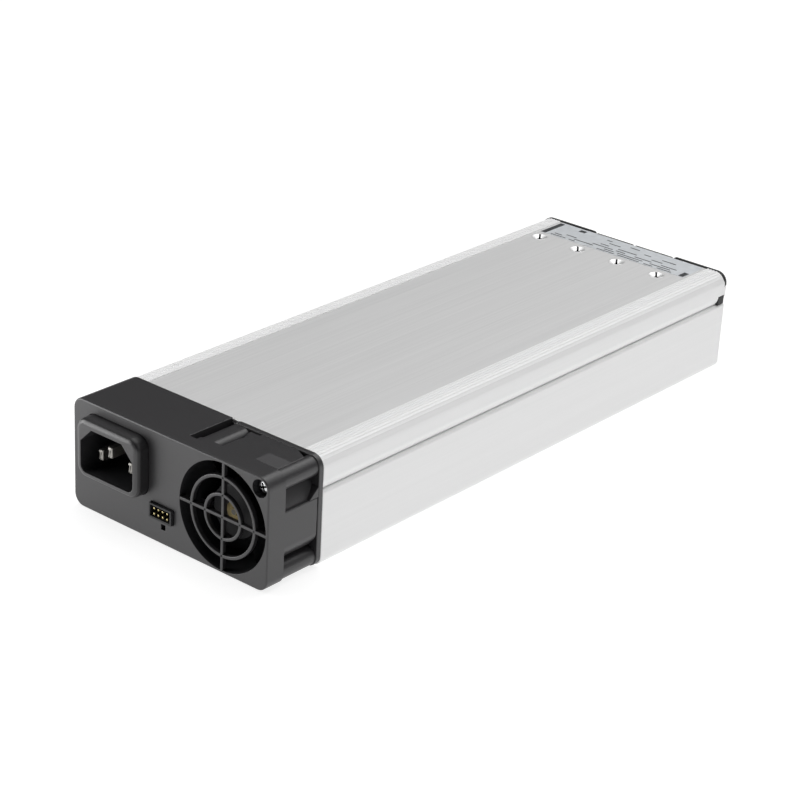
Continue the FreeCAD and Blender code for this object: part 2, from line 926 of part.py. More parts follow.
# Mains inlet: boss with a cavity whose upper corners are cut off, and three contacts bent down to the board
inlet_front = front - size.inlet_reach
inlet_rear = front + size.inlet_depth
inlet_loop = rectangle(inlet_sides, inlet_heights, size.inlet_corner)
inlet_shell = extrusion("inlet_shell", "XZ", [inlet_loop], (inlet_front, inlet_rear))
round_front(inlet_shell, size.inlet_edge)
flange_loop = rectangle(
    widened(inlet_sides, size.inlet_flange), widened(inlet_heights, size.inlet_flange), size.inlet_corner
)
inlet_flange = extrusion("inlet_rim", "XZ", [flange_loop], onward(plate_back, size.inlet_flange_thick))
cavity_z = size.inlet_z - size.cavity_drop
cavity_left, cavity_right = around(size.inlet_x, size.cavity_width)
cavity_low, cavity_high = around(cavity_z, size.cavity_height)
cavity_floor = inlet_front + size.cavity_depth
cavity_loop = [
    (cavity_left, cavity_low, size.cavity_corner),
    (cavity_right, cavity_low, size.cavity_corner),
    (cavity_right, cavity_high - size.cavity_chamfer),
    (cavity_right - size.cavity_chamfer, cavity_high),
    (cavity_left + size.cavity_chamfer, cavity_high),
    (cavity_left, cavity_high - size.cavity_chamfer),
]
cavity = extrusion("inlet_cavity", "XZ", [cavity_loop], (inlet_front, cavity_floor))
contact_places = [
    (size.inlet_x - size.contact_pitch / 2, cavity_z - size.contact_rise),
    (size.inlet_x, cavity_z + size.contact_rise),
    (size.inlet_x + size.contact_pitch / 2, cavity_z - size.contact_rise),
]
contact_rear = front + size.contact_length


def contact_bar(name, place, span):
    return block(name, around(place[0], size.contact_thick), span, around(place[1], size.contact_tall))


slot_span = (cavity_floor, inlet_rear)
inlet_slots = [contact_bar(f"contact_slot_{i}", place, slot_span) for i, place in enumerate(contact_places)]
keep("inlet_housing", cut("inlet_cut", fuse("inlet_body", inlet_shell, inlet_flange), cavity, *inlet_slots))


def inlet_contact(index, place):
    """Blade with a leg down to the board; the middle one is earth and reaches further forward."""
    reach = size.earth_reach if index == 1 else size.contact_reach
    bar = contact_bar(f"contact_bar_{index}", place, (front - reach, contact_rear))
    leg_y = (contact_rear - size.contact_leg, contact_rear)
    leg = block(f"contact_leg_{index}", around(place[0], size.contact_thick), leg_y, (board_top, place[1]))
    return fuse(f"contact_{index}", bar, leg)


keep("inlet_blades", one_each("contacts", inlet_contact, contact_places))

# Signal header on the board's front edge, and the status light under the board
header_front = front - size.header_reach
header_rear = header_front + size.header_length
header_floor = header_rear - size.header_floor
header_z = board_top + size.header_height / 2
pin_left = size.header_x - size.pin_pitch * (size.pin_columns - 1) / 2
pin_low = header_z - size.pin_pitch * (size.pin_rows - 1) / 2
pin_places = [
    (pin_left + size.pin_pitch * column, pin_low + size.pin_pitch * row)
    for row in times(size.pin_rows)
    for column in times(size.pin_columns)
]


def pin_bar(name, place, span):
    return block(name, around(place[0], size.pin_side), span, around(place[1], size.pin_side))


header_well = block(
    "header_well",
    widened(header_sides, -size.header_wall),
    (header_front, header_floor),
    widened(header_heights, -size.header_wall),
)
way_span = (header_floor, header_rear)
pin_ways = [pin_bar(f"pin_way_{i}", place, way_span) for i, place in enumerate(pin_places)]
header_block = block("header_block", header_sides, (header_front, header_rear), header_heights)
keep("signal_header", cut("header_cut", header_block, header_well, *pin_ways))


def header_pin(index, place):
    """Square pin bent down behind the header to the board; the upper row bends further back."""
    upper_row = place[1].value > header_z.value
    tail = header_rear + size.pin_tail + (size.pin_pitch if upper_row else 0)
    bar = pin_bar(f"pin_bar_{index}", place, (header_front + size.pin_recess, tail))
    leg_y = (tail - size.pin_side, tail)
    leg = block(f"pin_leg_{index}", around(place[0], size.pin_side), leg_y, (board_top, place[1]))
    return fuse(f"pin_{index}", bar, leg)


keep("signal_pins", one_each("pins", header_pin, pin_places))
light_y = onward(plate_back + size.slip, size.light_length)
light_heights = (size.board_low - size.light_height, size.board_low)
keep("status_light", block("light", around(size.light_x, size.light_width), light_y, light_heights))

# Fan frame: two square flanges, a round barrel, four corner posts and a motor base on struts
fan_front = rim_back
fan_rear = fan_front + size.fan_depth
fan_span = (fan_front, fan_rear)
fan_loop = rectangle((fan_left, half_width), (0, size.case_height), size.fan_corner)
web_side = half_width - size.fan_web_drop
web_top = size.case_height - size.fan_web_drop
pad_x = (fan_x + size.fan_pad_near, fan_x + size.fan_pad_far)
pad_y = onward(fan_front + size.fan_pad_front, size.fan_pad_length)
fan_outside = [
    extrusion("fan_flange_front", "XZ", [fan_loop], onward(fan_front, size.fan_front_flange)),
    extrusion("fan_flange_rear", "XZ", [fan_loop], (fan_rear - size.fan_rear_flange, fan_rear)),
    rod("fan_barrel", "Y", fan_axis, fan_span, size.fan_barrel),
    block(
        "fan_web_side",
        (web_side - size.fan_web_thick, web_side),
        fan_span,
        (fan_z + size.fan_web_rise, fan_z + half_spacing),
    ),
    block(
        "fan_panel_side",
        (web_side - size.fan_web_thick, half_width - size.slip),
        fan_span,
        (fan_z - size.fan_panel_below, fan_z + size.fan_panel_above),
    ),
    block(
        "fan_web_top",
        (fan_x - size.fan_web_left, fan_x + size.fan_web_right),
        fan_span,
        (web_top - size.fan_web_thick, web_top),
    ),
    block("fan_pad", pad_x, pad_y, (web_top - size.fan_web_thick, web_top + size.fan_pad_height)),
]
fan_holes = [rod("fan_bore", "Y", fan_axis, fan_span, size.aperture)]
for i, place in enumerate(fan_corners):
    fan_outside.append(rod(f"fan_post_{i}", "Y", place, fan_span, size.fan_post))
    fan_holes.append(rod(f"fan_post_way_{i}", "Y", place, fan_span, size.fan_post_hole))
fan_shell = cut("fan_shell", fuse("fan_outside", *fan_outside), *fan_holes)
hub_front = fan_front + size.hub_setback
hub_rear = hub_front + size.hub_length
base_front = hub_rear + size.motor_base_gap
base_rear = base_front + size.motor_base_thick
base_span = (base_front, base_rear)
sleeve_front = hub_front + size.sleeve_setback
sleeve_rear = base_rear - size.sleeve_end


def spoke(name, degrees, radial, span, width):
    """A block that points away from the fan's axis at an angle."""
    turn = math.radians(degrees)
    item = doc.addObject("Part::Box", name)
    bind(item, "Length", radial[1] - radial[0])
    bind(item, "Width", span[1] - span[0])
    bind(item, "Height", width)
    item.Placement = Placement(Vector(), Rotation(Vector(0, 1, 0), degrees))
    x = fan_x + radial[0] * math.cos(turn) - width / 2 * math.sin(turn)
    z = fan_z - radial[0] * math.sin(turn) - width / 2 * math.cos(turn)
    return put(item, x, span[0], z)


QUARTERS = (0, 90, 180, 270)
strut_reach = (size.motor_base - size.strut_width / 2, size.aperture + size.strut_width / 4)
struts = [spoke(f"strut_{a}", 45 + a, strut_reach, base_span, size.strut_width) for a in QUARTERS]
motor_base = rod("motor_base", "Y", fan_axis, base_span, size.motor_base)
sleeve = rod("motor_sleeve", "Y", fan_axis, (sleeve_front, base_rear), size.sleeve_radius)
sleeve_bore = rod("motor_bore", "Y", fan_axis, (sleeve_front, sleeve_rear), size.sleeve_bore)
fan_whole = fuse("fan_whole", fan_shell, motor_base, sleeve, *struts)
keep("fan_frame", cut("fan_frame_cut", fan_whole, sleeve_bore))

# Fan rotor: hub cup with twisted blades, brass insert, shaft and magnet ring
cup_floor = hub_front + size.hub_face
cup = rod("hub_cup", "Y", fan_axis, (hub_front, hub_rear), size.hub_radius)
cup_hollow = rod("hub_hollow", "Y", fan_axis, (cup_floor, hub_rear), size.hub_inner)
insert_way = rod("hub_insert_way", "Y", fan_axis, (hub_front, cup_floor), size.hub_insert)


def blade_section(radius, chord, pitch, thickness):
    """Bowed outline of a blade, square to the radius; two arcs meet at its edges."""
    pitch = math.radians(pitch)
    lengthwise = Vector(0, math.sin(pitch), math.cos(pitch))
    crosswise = Vector(0, math.cos(pitch), -math.sin(pitch))
    middle = Vector(radius, 0, 0)
    leading = middle - lengthwise * (chord / 2)
    trailing = middle + lengthwise * (chord / 2)
    bow = size.blade_camber.value * chord
    upper = middle + crosswise * (bow + thickness / 2)
    lower = middle + crosswise * (bow - thickness / 2)
    upper_arc = Part.Arc(leading, upper, trailing).toShape()
    lower_arc = Part.Arc(trailing, lower, leading).toShape()
    return Part.Wire([upper_arc, lower_arc])


blade_root = blade_section(
    size.hub_radius.value - size.blade_bury.value,
    size.blade_root_chord.value,
    size.blade_root_pitch.value,
    size.blade_root_thick.value,
)
blade_tip = blade_section(
    size.impeller_tip.value + size.blade_bury.value,
    size.blade_tip_chord.value,
    size.blade_tip_pitch.value,
    size.blade_tip_thick.value,
)
one_blade = Part.makeLoft([blade_root, blade_tip], True, False)
blade_set = []
for number in times(size.impeller_blades):
    turned = one_blade.copy()
    turned.rotate(Vector(), Vector(0, 1, 0), 360 * number / size.impeller_blades.value)
    blade_set.append(turned)
blades = doc.addObject("Part::Feature", "impeller_blades")
blades.Shape = Part.makeCompound(blade_set)
put(blades, fan_x, (hub_front + hub_rear) / 2, fan_z)
trimmed_blades = doc.addObject("Part::Common", "trimmed_blades")
trimmed_blades.Base = blades
trimmed_blades.Tool = rod("tip_circle", "Y", fan_axis, (hub_front, hub_rear), size.impeller_tip)
impeller = fuse("impeller_body", cup, trimmed_blades)
keep("fan_impeller", cut("impeller_cut", impeller, cup_hollow, insert_way))
shaft_front = hub_front - size.hub_insert_proud
insert_span = onward(shaft_front, size.hub_insert_length)
keep("fan_hub_insert", ring("hub_insert", "Y", fan_axis, insert_span, size.hub_insert, size.shaft_radius))
shaft_span = (shaft_front, sleeve_rear - size.clearance)
keep("fan_shaft", rod("shaft", "Y", fan_axis, shaft_span, size.shaft_radius))
magnet_span = (cup_floor + size.magnet_front_gap, hub_rear - size.magnet_rear_gap)
keep("fan_magnet", ring("magnet", "Y", fan_axis, magnet_span, size.hub_inner, size.magnet_inner))

# Fan motor: two bearings in the sleeve, a stator core with four poles, coils and a ring-shaped board
bearing_bore = size.shaft_radius + size.shaft_play
bearing_starts = (sleeve_front, sleeve_rear - size.bearing_length)
bearings = []
for i, start in enumerate(bearing_starts):
    span = onward(start, size.bearing_length)
    bearings.append(ring(f"bearing_{i}", "Y", fan_axis, span, size.sleeve_bore, bearing_bore))
keep("fan_bearings", group("bearings", bearings))
stator_middle = (magnet_span[0] + magnet_span[1]) / 2
stator_span = around(stator_middle, size.stator_height)
yoke_radius = size.sleeve_radius + size.stator_yoke
shoe_radius = size.stator_radius - size.stator_shoe
neck_reach = (size.sleeve_radius, size.stator_radius - size.stator_shoe / 2)
gap_reach = (shoe_radius - size.stator_shoe, size.stator_radius + size.stator_shoe)
shoe_ring = ring("stator_shoe_ring", "Y", fan_axis, stator_span, size.stator_radius, shoe_radius)
shoe_gaps = [spoke(f"shoe_gap_{a}", 45 + a, gap_reach, stator_span, size.stator_slot) for a in QUARTERS]
necks = [spoke(f"neck_{a}", a, neck_reach, stator_span, size.stator_neck) for a in QUARTERS]
yoke = rod("stator_yoke", "Y", fan_axis, stator_span, yoke_radius)
stator_body = fuse("stator_body", yoke, *necks, cut("stator_shoes", shoe_ring, *shoe_gaps))
stator_way = rod("stator_way", "Y", fan_axis, stator_span, size.sleeve_radius)
keep("fan_stator", cut("stator_cut", stator_body, stator_way))
coil_span = widened(stator_span, size.coil_overhang)
coil_reach = (yoke_radius, shoe_radius - size.coil_gap)
coils = []
for a in QUARTERS:
    winding_block = spoke(f"coil_block_{a}", a, coil_reach, coil_span, size.coil_width)
    pole = spoke(f"coil_pole_{a}", a, coil_reach, stator_span, size.stator_neck)
    coils.append(cut(f"coil_{a}", winding_block, pole))
keep("fan_coils", group("coils", coils))
motor_board_span = (base_front - size.motor_board_thick, base_front)
board_radii = (size.motor_base - size.motor_board_thick, size.sleeve_radius)
keep("fan_board", ring("motor_board", "Y", fan_axis, motor_board_span, *board_radii))

# Fan screw: cross-head screw in the bezel's corner recess, down the fan's post
screw_face = recess_floor - size.fan_screw_height
screw_head = rod("fan_screw_head", "Y", screw_corner, (screw_face, recess_floor), size.fan_screw_head)
screw_shank = rod(
    "fan_screw_shank", "Y", screw_corner, onward(recess_floor, size.fan_screw_length), size.fan_post_hole
)
screw_cross = cross_recess("fan_screw_cross", "Y", screw_corner, onward(screw_face, size.cross_depth))
keep("fan_screw", cut("fan_screw_cut", fuse("fan_screw_body", screw_head, screw_shank), *screw_cross))

# Fan lead: straight out of the rear flange, one bend, then down into the plug on the board
plug_y = fan_rear + size.lead_run
plug_high = board_top + size.lead_plug_height


def on_lead(y, z):
    return Vector(size.lead_x.value, y.value, z.value)


lead_start = on_lead(fan_rear, size.lead_z)
bend_start = on_lead(plug_y - size.lead_bend, size.lead_z)
bend_end = on_lead(plug_y, size.lead_z - size.lead_bend)
bend_centre = on_lead(plug_y - size.lead_bend, size.lead_z - size.lead_bend)
bend_middle = bend_centre + Vector(0, 1, 1).normalize() * size.lead_bend.value
lead_path = Part.Wire(
    [
        Part.LineSegment(lead_start, bend_start).toShape(),
        Part.Arc(bend_start, bend_middle, bend_end).toShape(),
        Part.LineSegment(bend_end, on_lead(plug_y, plug_high)).toShape(),
    ]
)
lead_section = Part.Wire(Part.makeCircle(size.lead_radius.value, lead_start, Vector(0, 1, 0)))
lead = doc.addObject("Part::Feature", "lead")
lead.Shape = lead_path.makePipeShell([lead_section], True, False)
keep("fan_lead", lead)
plug_sides = around(size.lead_x, size.lead_plug_width)
plug_block = block("lead_plug", plug_sides, around(plug_y, size.lead_plug_depth), (board_top, plug_high))
keep("fan_plug", plug_block)

# Main board, the insulation film under it, standoffs and screws
standoff_places = [
    (side * size.standoff_x, size.standoff_first_y + size.standoff_pitch_y * number)
    for side in SIDES
    for number in times(size.standoff_rows)
]
board_front = plate_back + size.bezel_overlap / 2
board_step = chassis_front + size.bezel_overlap
board_neck = box_inner - size.clearance
board_edge = [
    (-size.board_half, board_front),
    (board_neck, board_front),
    (board_neck, board_step),
    (size.board_half, board_step),
    (size.board_half, size.board_rear),
    (-size.board_half, size.board_rear),
]
board_holes = [circle(x, y, size.standoff_bore) for x, y in standoff_places]
keep("main_board", extrusion("board", "XY", [board_edge, *board_holes], (size.board_low, board_top)))
film_edge = rectangle(
    (-size.board_half, size.board_half), (tab_y[1] + size.film_margin, size.module_rear)
)
film_holes = [circle(x, y, size.nut_flange + size.film_margin) for x, y in mount_places]
film_holes += [circle(x, y, size.standoff_radius + size.film_margin) for x, y in standoff_places]
film_span = onward(size.tray_floor, size.film_thick)
keep("insulation_sheet", extrusion("film", "XY", [film_edge, *film_holes], film_span))


def standoff(index, place):
    item = doc.addObject("Part::Prism", f"standoff_hex_{index}")
    item.Polygon = 6
    bind(item, "Circumradius", size.standoff_radius)
    bind(item, "Height", size.board_low - size.tray_floor)
    put(item, *place, size.tray_floor)
    way = rod(f"standoff_way_{index}", "Z", place, (size.tray_floor, size.board_low), size.standoff_bore)
    return cut(f"standoff_{index}", item, way)


def board_screw(index, place):
    top = board_top + size.board_screw_height
    head = rod(f"board_head_{index}", "Z", place, (board_top, top), size.board_screw_head)
    shank_span = (size.tray_floor + size.film_thick, board_top)
    shank = rod(f"board_shank_{index}", "Z", place, shank_span, size.standoff_bore)
    recess = cross_recess(f"board_cross_{index}", "Z", place, (top - size.cross_depth, top))
    return cut(f"board_screw_{index}", fuse(f"board_screw_body_{index}", head, shank), *recess)


keep("board_standoffs", one_each("standoffs", standoff, standoff_places))
keep("board_screws", one_each("pan_screws", board_screw, standoff_places))


def ring_core(name, place, wire, radii, height):
    """Ring core held above the board by the wire wound round it."""
    return ring(name, "Z", place, onward(board_top + wire, height), radii[1], radii[0])


def ring_winding(name, core, place, wire, radii, height, start, sweep):
    """Part-turn winding wrapped round a ring core; it stands on the board."""
    span = onward(board_top, height + 2 * wire)
    sector = rod(f"{name}_sector", "Z", place, span, radii[1] + wire)
    sector.Placement = Placement(sector.Placement.Base, Rotation(Vector(0, 0, 1), start))
    bind(sector, "Angle", sweep)
    return cut(name, sector, rod(f"{name}_way", "Z", place, span, radii[0] - wire), core)


# Mains filter: choke on a ring core, two box capacitors and a cartridge fuse in clips
choke = ((size.choke_x, size.choke_y), size.choke_wire, (size.choke_core_inner, size.choke_core_outer))
choke_core = keep("filter_choke_core", ring_core("choke_core", *choke, size.choke_core_height))
choke_windings = []
for i in (0, 1):
    turns = (*choke, size.choke_core_height, 180 * i, size.choke_turns_angle)
    choke_windings.append(ring_winding(f"choke_winding_{i}", choke_core, *turns))
keep("filter_choke_windings", group("choke_windings", choke_windings))
box_heights = onward(board_top, size.box_capacitor_height)
box_sides = around(size.box_capacitor_x, size.box_capacitor_width)
box_capacitors = []
for i in (0, 1):
    box_y = around(size.box_capacitor_y + size.box_capacitor_pitch * i, size.box_capacitor_depth)
    box_capacitors.append(block(f"box_capacitor_{i}", box_sides, box_y, box_heights))
keep("filter_capacitors", group("box_capacitors", box_capacitors))
fuse_z = board_top + size.fuse_rise
fuse_span = around(size.fuse_y, size.fuse_length)
fuse_parts = [rod("fuse_tube", "Y", (size.fuse_x, fuse_z), fuse_span, size.fuse_radius)]
cap_middle = (size.fuse_length - size.fuse_cap_length) / 2
for side in SIDES:
    cap_y = size.fuse_y + side * cap_middle
    cap_span = around(cap_y, size.fuse_cap_length)
    clip_x = around(size.fuse_x, size.fuse_clip)
    clip_heights = (board_top, fuse_z)
    fuse_parts.append(rod(f"fuse_cap_{side}", "Y", (size.fuse_x, fuse_z), cap_span, size.fuse_cap))
    fuse_parts.append(block(f"fuse_clip_{side}", clip_x, around(cap_y, size.fuse_clip), clip_heights))
keep("input_fuse", fuse("fuse", *fuse_parts))

# Primary side: boost choke, bulk capacitors, finned heat sink with the rectifier and the transistors
boost = ((size.boost_x, size.boost_y), size.boost_wire, (size.boost_core_inner, size.boost_core_outer))
boost_core = keep("boost_choke_core", ring_core("boost_core", *boost, size.boost_core_height))
boost_turns = (*boost, size.boost_core_height, 0, size.boost_turns_angle)
keep("boost_choke_winding", ring_winding("boost_winding", boost_core, *boost_turns))
can_span = onward(size.can_front, size.can_length)
cans = []
for side in SIDES:
    can_place = (size.can_x + side * size.can_pitch / 2, board_top + size.can_radius)
    cans.append(rod(f"can_{side}", "Y", can_place, can_span, size.can_radius))
keep("bulk_capacitors", group("cans", cans))
sink_span = (size.sink_front, size.sink_rear)
sink_base = onward(size.sink_face, size.sink_base)
fin_x = (size.sink_face + size.sink_base / 2, size.sink_face + size.sink_reach)
sink_parts = [block("sink_base", sink_base, sink_span, onward(board_top, size.sink_height))]
for number in times(size.sink_fins):
    fin_low = board_top + size.sink_fin_first + size.sink_fin_pitch * number
    sink_parts.append(block(f"fin_{number}", fin_x, sink_span, onward(fin_low, size.sink_fin_thick)))
keep("heat_sink", fuse("sink", *sink_parts))
bridge_x = (size.sink_face - size.bridge_thick, size.sink_face)
bridge_y = onward(size.bridge_front, size.bridge_width)
bridge_heights = onward(board_top + size.bridge_rise, size.bridge_height)
keep("bridge_rectifier", block("bridge", bridge_x, bridge_y, bridge_heights))
transistor_x = (size.sink_face - size.transistor_thick, size.sink_face)
transistor_heights = onward(board_top + size.transistor_rise, size.transistor_height)
transistors = []
for number in times(size.transistor_count):
    y = around(size.transistor_y + size.transistor_pitch * number, size.transistor_width)
    transistors.append(block(f"transistor_{number}", transistor_x, y, transistor_heights))
keep("power_transistors", group("transistors", transistors))

# Main transformer: core with two windows and a coil round its middle leg
core_x = around(size.core_x, size.core_width)
core_y = around(size.core_y, size.core_depth)
core_heights = onward(board_top, size.core_height)
leg_x = around(size.core_x, size.core_leg)
window_x = widened(core_x, -size.core_side)
window_heights = widened(core_heights, -size.core_yoke)
windows = [
    block("window_left", (window_x[0], leg_x[0]), core_y, window_heights),
    block("window_right", (leg_x[1], window_x[1]), core_y, window_heights),
]
keep("transformer_core", cut("core_cut", block("core", core_x, core_y, core_heights), *windows))
coil_x = widened(window_x, -size.coil_inset)
coil_outside = block("coil_outside", coil_x, widened(core_y, size.coil_proud), window_heights)
keep("transformer_coil", cut("coil_cut", coil_outside, block("coil_way", leg_x, core_y, window_heights)))

# Bus board across the case, with a socket for each output module
bus_rear = size.bus_y + size.board_thick
bus_heights = (board_top, size.bus_top)
keep("bus_board", block("bus", (size.bus_left, size.bus_right), (size.bus_y, bus_rear), bus_heights))
module_top = size.module_low + size.board_thick
socket_y = onward(bus_rear, size.socket_depth)
socket_heights = onward(board_top + size.socket_rise, size.socket_height)
socket_way_y = (size.module_front - size.slip, socket_y[1])
socket_way_heights = widened((size.module_low, module_top), size.slip)
sockets = []
for i, centre in enumerate(slot_centres):
    socket = block(f"socket_body_{i}", around(centre, 2 * size.socket_half), socket_y, socket_heights)
    way_x = widened(around(centre, 2 * size.module_half), size.slip)
    way = block(f"socket_way_{i}", way_x, socket_way_y, socket_way_heights)
    sockets.append(cut(f"socket_{i}", socket, way))
keep("module_sockets", group("sockets", sockets))

# Module end plates: black, with openings for the terminals, the trimmer and the air
plate_low = size.tray_floor + size.clearance
plate_high = size.case_height - size.slip
vent_rows = [size.vent_low + size.vent_pitch * number for number in times(size.vent_low_rows)]
vent_rows += [size.vent_high + size.vent_pitch * number for number in times(size.vent_high_rows)]
terminal_heights = onward(module_top, size.terminal_height)
opening_width = size.terminal_pitch + size.terminal_side + 2 * size.clearance


def end_plate_edge(index, centre):
    """Outer plates step out over the cover's end and follow its rounded corner."""
    sides = around(centre, size.slot_pitch - size.slot_gap)
    if 0 < index < len(slot_centres) - 1:
        return rectangle(sides, (plate_low, plate_high))
    side = -1 if index == 0 else 1
    inner = sides[1] if side < 0 else sides[0]
    outer = side * (half_width - size.slip)
    return [
        (inner, plate_low),
        (side * size.end_plate_half, plate_low),
        (side * size.end_plate_half, size.end_plate_shoulder),
        (outer, size.end_plate_shoulder),
        (outer, plate_high, size.cover_corner - size.slip),
        (inner, plate_high),
    ]


def end_plate(index, centre):
    loops = [
        end_plate_edge(index, centre),
        rectangle(around(centre, opening_width), widened(terminal_heights, size.clearance)),
        circle(centre + size.trimmer_x, size.trimmer_z, size.trimmer_hole),
    ]
    vent_sides = around(centre, 2 * size.vent_half)
    loops += [rectangle(vent_sides, onward(low, size.vent_height)) for low in vent_rows]
    return extrusion(f"end_plate_{index}", "XZ", loops, end_span)


# Output modules: each has a board, a transformer, a heat plate, two screw terminals and a trimmer
core_span = onward(size.module_core_front, size.module_core_length)
core_column = (module_top, size.heat_plate_low)
core_window_heights = widened(core_column, -size.module_core_yoke)
core_quarter = size.module_core_length / 4
heat_span = (size.module_front + size.heat_plate_setback, cover_rear)
heat_heights = (size.heat_plate_low, cover_underside)
terminal_face = rear + size.terminal_proud
washer_face = terminal_face + size.washer_thick
screw_end = rear + size.terminal_reach
trimmer_tip = rear - size.trimmer_setback
trimmer_root = trimmer_tip - size.trimmer_length
housing_span = (rear - size.trimmer_housing_depth, cover_rear - size.clearance)
housing_heights = (size.heat_plate_low - size.trimmer_side, size.heat_plate_low)


def module_transformer(index, centre):
    sides = around(centre, 2 * size.module_core_half)
    core = block(f"module_core_{index}", sides, core_span, core_column)
    core_windows = []
    for side in SIDES:
        middle = (core_span[0] + core_span[1]) / 2 + side * core_quarter
        window_y = around(middle, size.module_core_window)
        core_windows.append(block(f"module_window_{index}_{side}", sides, window_y, core_window_heights))
    return cut(f"module_transformer_{index}", core, *core_windows)


def heat_plate(index, centre):
    plate = block(f"heat_block_{index}", around(centre, 2 * size.module_half), heat_span, heat_heights)
    thread = rod(f"heat_thread_{index}", "Z", screw_places[index], heat_heights, size.cover_screw_shank)
    return cut(f"heat_plate_{index}", plate, thread)


def trimmer_place(centre):
    return (centre + size.trimmer_x, size.trimmer_z)


def trimmer_housing(index, centre):
    place = trimmer_place(centre)
    sides = around(place[0], size.trimmer_side)
    body = block(f"housing_block_{index}", sides, housing_span, housing_heights)
    bore_span = (trimmer_root - size.clearance, housing_span[1])
    bore = rod(f"housing_bore_{index}", "Y", place, bore_span, size.trimmer_radius + size.trimmer_play)
    return cut(f"housing_{index}", body, bore)


def trimmer_rotor(index, centre):
    """Adjuster with a screwdriver slot; it turns in the trimmer's housing."""
    x, z = trimmer_place(centre)
    body = rod(f"rotor_body_{index}", "Y", (x, z), (trimmer_root, trimmer_tip), size.trimmer_radius)
    slot_y = (trimmer_tip - size.trimmer_slot_depth, trimmer_tip)
    slot_x = around(x, 2 * size.trimmer_radius)
    slot = block(f"rotor_slot_{index}", slot_x, slot_y, around(z, size.trimmer_slot))
    return cut(f"rotor_{index}", body, slot)


def terminal(index, place):
    """Plated block on the module's board; its thread takes the terminal screw."""
    sides = around(place[0], size.terminal_side)
    body_span = (rear - size.terminal_depth, terminal_face)
    body = block(f"terminal_block_{index}", sides, body_span, terminal_heights)
    thread_span = (rear - size.terminal_thread_depth, terminal_face)
    thread = rod(f"terminal_thread_{index}", "Y", place, thread_span, size.terminal_screw_shank)
    return cut(f"terminal_{index}", body, thread)


def terminal_screw(index, place):
    """Screw with its own washer, shown tightened on the block."""
    shank_span = (rear - size.terminal_screw_length, terminal_face)
    shank = rod(f"terminal_shank_{index}", "Y", place, shank_span, size.terminal_screw_shank)
    washer = rod(f"terminal_washer_{index}", "Y", place, (terminal_face, washer_face), size.washer_radius)
    head = rod(f"terminal_head_{index}", "Y", place, (washer_face, screw_end), size.terminal_screw_head)
    recess_span = (screw_end - size.terminal_cross_depth, screw_end)
    recess = cross_recess(f"terminal_cross_{index}", "Y", place, recess_span)
    return cut(f"terminal_screw_{index}", fuse(f"terminal_screw_body_{index}", shank, washer, head), *recess)


terminal_places = []
module_board_y = (size.module_front, size.module_rear)
module_heights = (size.module_low, module_top)
for i, centre in enumerate(slot_centres):
    keep(f"module_{i + 1}_end_plate", end_plate(i, centre))
    module_sides = around(centre, 2 * size.module_half)
    keep(f"module_{i + 1}_board", block(f"module_board_{i}", module_sides, module_board_y, module_heights))
    keep(f"module_{i + 1}_trimmer", trimmer_rotor(i, centre))
    for side in SIDES:
        x = centre + side * size.terminal_pitch / 2
        terminal_places.append((x, module_top + size.terminal_height / 2))
keep("module_transformers", one_each("transformers", module_transformer, slot_centres))
keep("module_heat_plates", one_each("heat_plates", heat_plate, slot_centres))
keep("trimmer_housings", one_each("housings", trimmer_housing, slot_centres))
keep("output_terminals", one_each("terminals", terminal, terminal_places))
keep("terminal_screws", one_each("lug_screws", terminal_screw, terminal_places))

# Build, test every object, then write each sub-part
doc.recompute()
failed = [item.Name for item in doc.Objects if {"Invalid", "Error"} & set(item.State)]
if failed:
    raise RuntimeError(f"failed objects: {failed}")
bad = [item.Label for item in nodes if item.Shape.isNull() or not item.Shape.isValid()]
if bad:
    raise RuntimeError(f"bad shapes: {bad}")
os.makedirs("parts", exist_ok=True)
for item in nodes:
    item.Shape.exportStep(os.path.join("parts", f"{item.Label}.step"))
    print(item.Label, len(item.Shape.Solids), round(item.Shape.Volume, 1))
print(len(nodes), "nodes")
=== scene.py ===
import math

import bmesh
import bpy
from mathutils import Matrix, Vector
from mathutils.geometry import tessellate_polygon


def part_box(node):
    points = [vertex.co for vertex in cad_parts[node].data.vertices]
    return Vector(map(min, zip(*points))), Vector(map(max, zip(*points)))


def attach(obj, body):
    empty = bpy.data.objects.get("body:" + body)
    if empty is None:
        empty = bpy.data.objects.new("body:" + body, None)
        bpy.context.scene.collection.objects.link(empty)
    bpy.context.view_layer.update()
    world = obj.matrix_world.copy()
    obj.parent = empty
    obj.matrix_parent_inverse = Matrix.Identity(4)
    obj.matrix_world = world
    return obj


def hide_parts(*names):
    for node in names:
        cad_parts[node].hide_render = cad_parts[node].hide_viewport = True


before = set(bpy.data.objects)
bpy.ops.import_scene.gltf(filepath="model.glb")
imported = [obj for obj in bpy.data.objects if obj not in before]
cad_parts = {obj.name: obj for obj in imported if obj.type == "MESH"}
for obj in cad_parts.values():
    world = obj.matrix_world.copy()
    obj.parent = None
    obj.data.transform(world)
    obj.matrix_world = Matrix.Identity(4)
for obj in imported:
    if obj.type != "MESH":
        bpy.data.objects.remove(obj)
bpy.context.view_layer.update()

# Base tray
# U-shaped aluminium extrusion with rounded lower edges; everything else stands in it or is screwed to it.
# Sawn to length, etched matt and clear anodised.
MM = 0.001
ARC_STEPS = 8
EDGE_STEPS = 4
SHARP_EDGE = math.radians(40)
# How far a cutting tool goes past what it cuts, in millimetres
CUT_PAST = 1.0
# Most of a noise texture's values lie between these two.
NOISE_LOW = 0.25
NOISE_HIGH = 0.75
# A Mix node has several sockets of one name, so those for colours go by number.
MIX_SHARE = 0
MIX_FIRST = 6
MIX_LAST = 7
MIX_COLOUR = 2


def room(node):
    """Lowest and highest corner of a CAD node, in millimetres."""
    low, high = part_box(node)
    return low / MM, high / MM


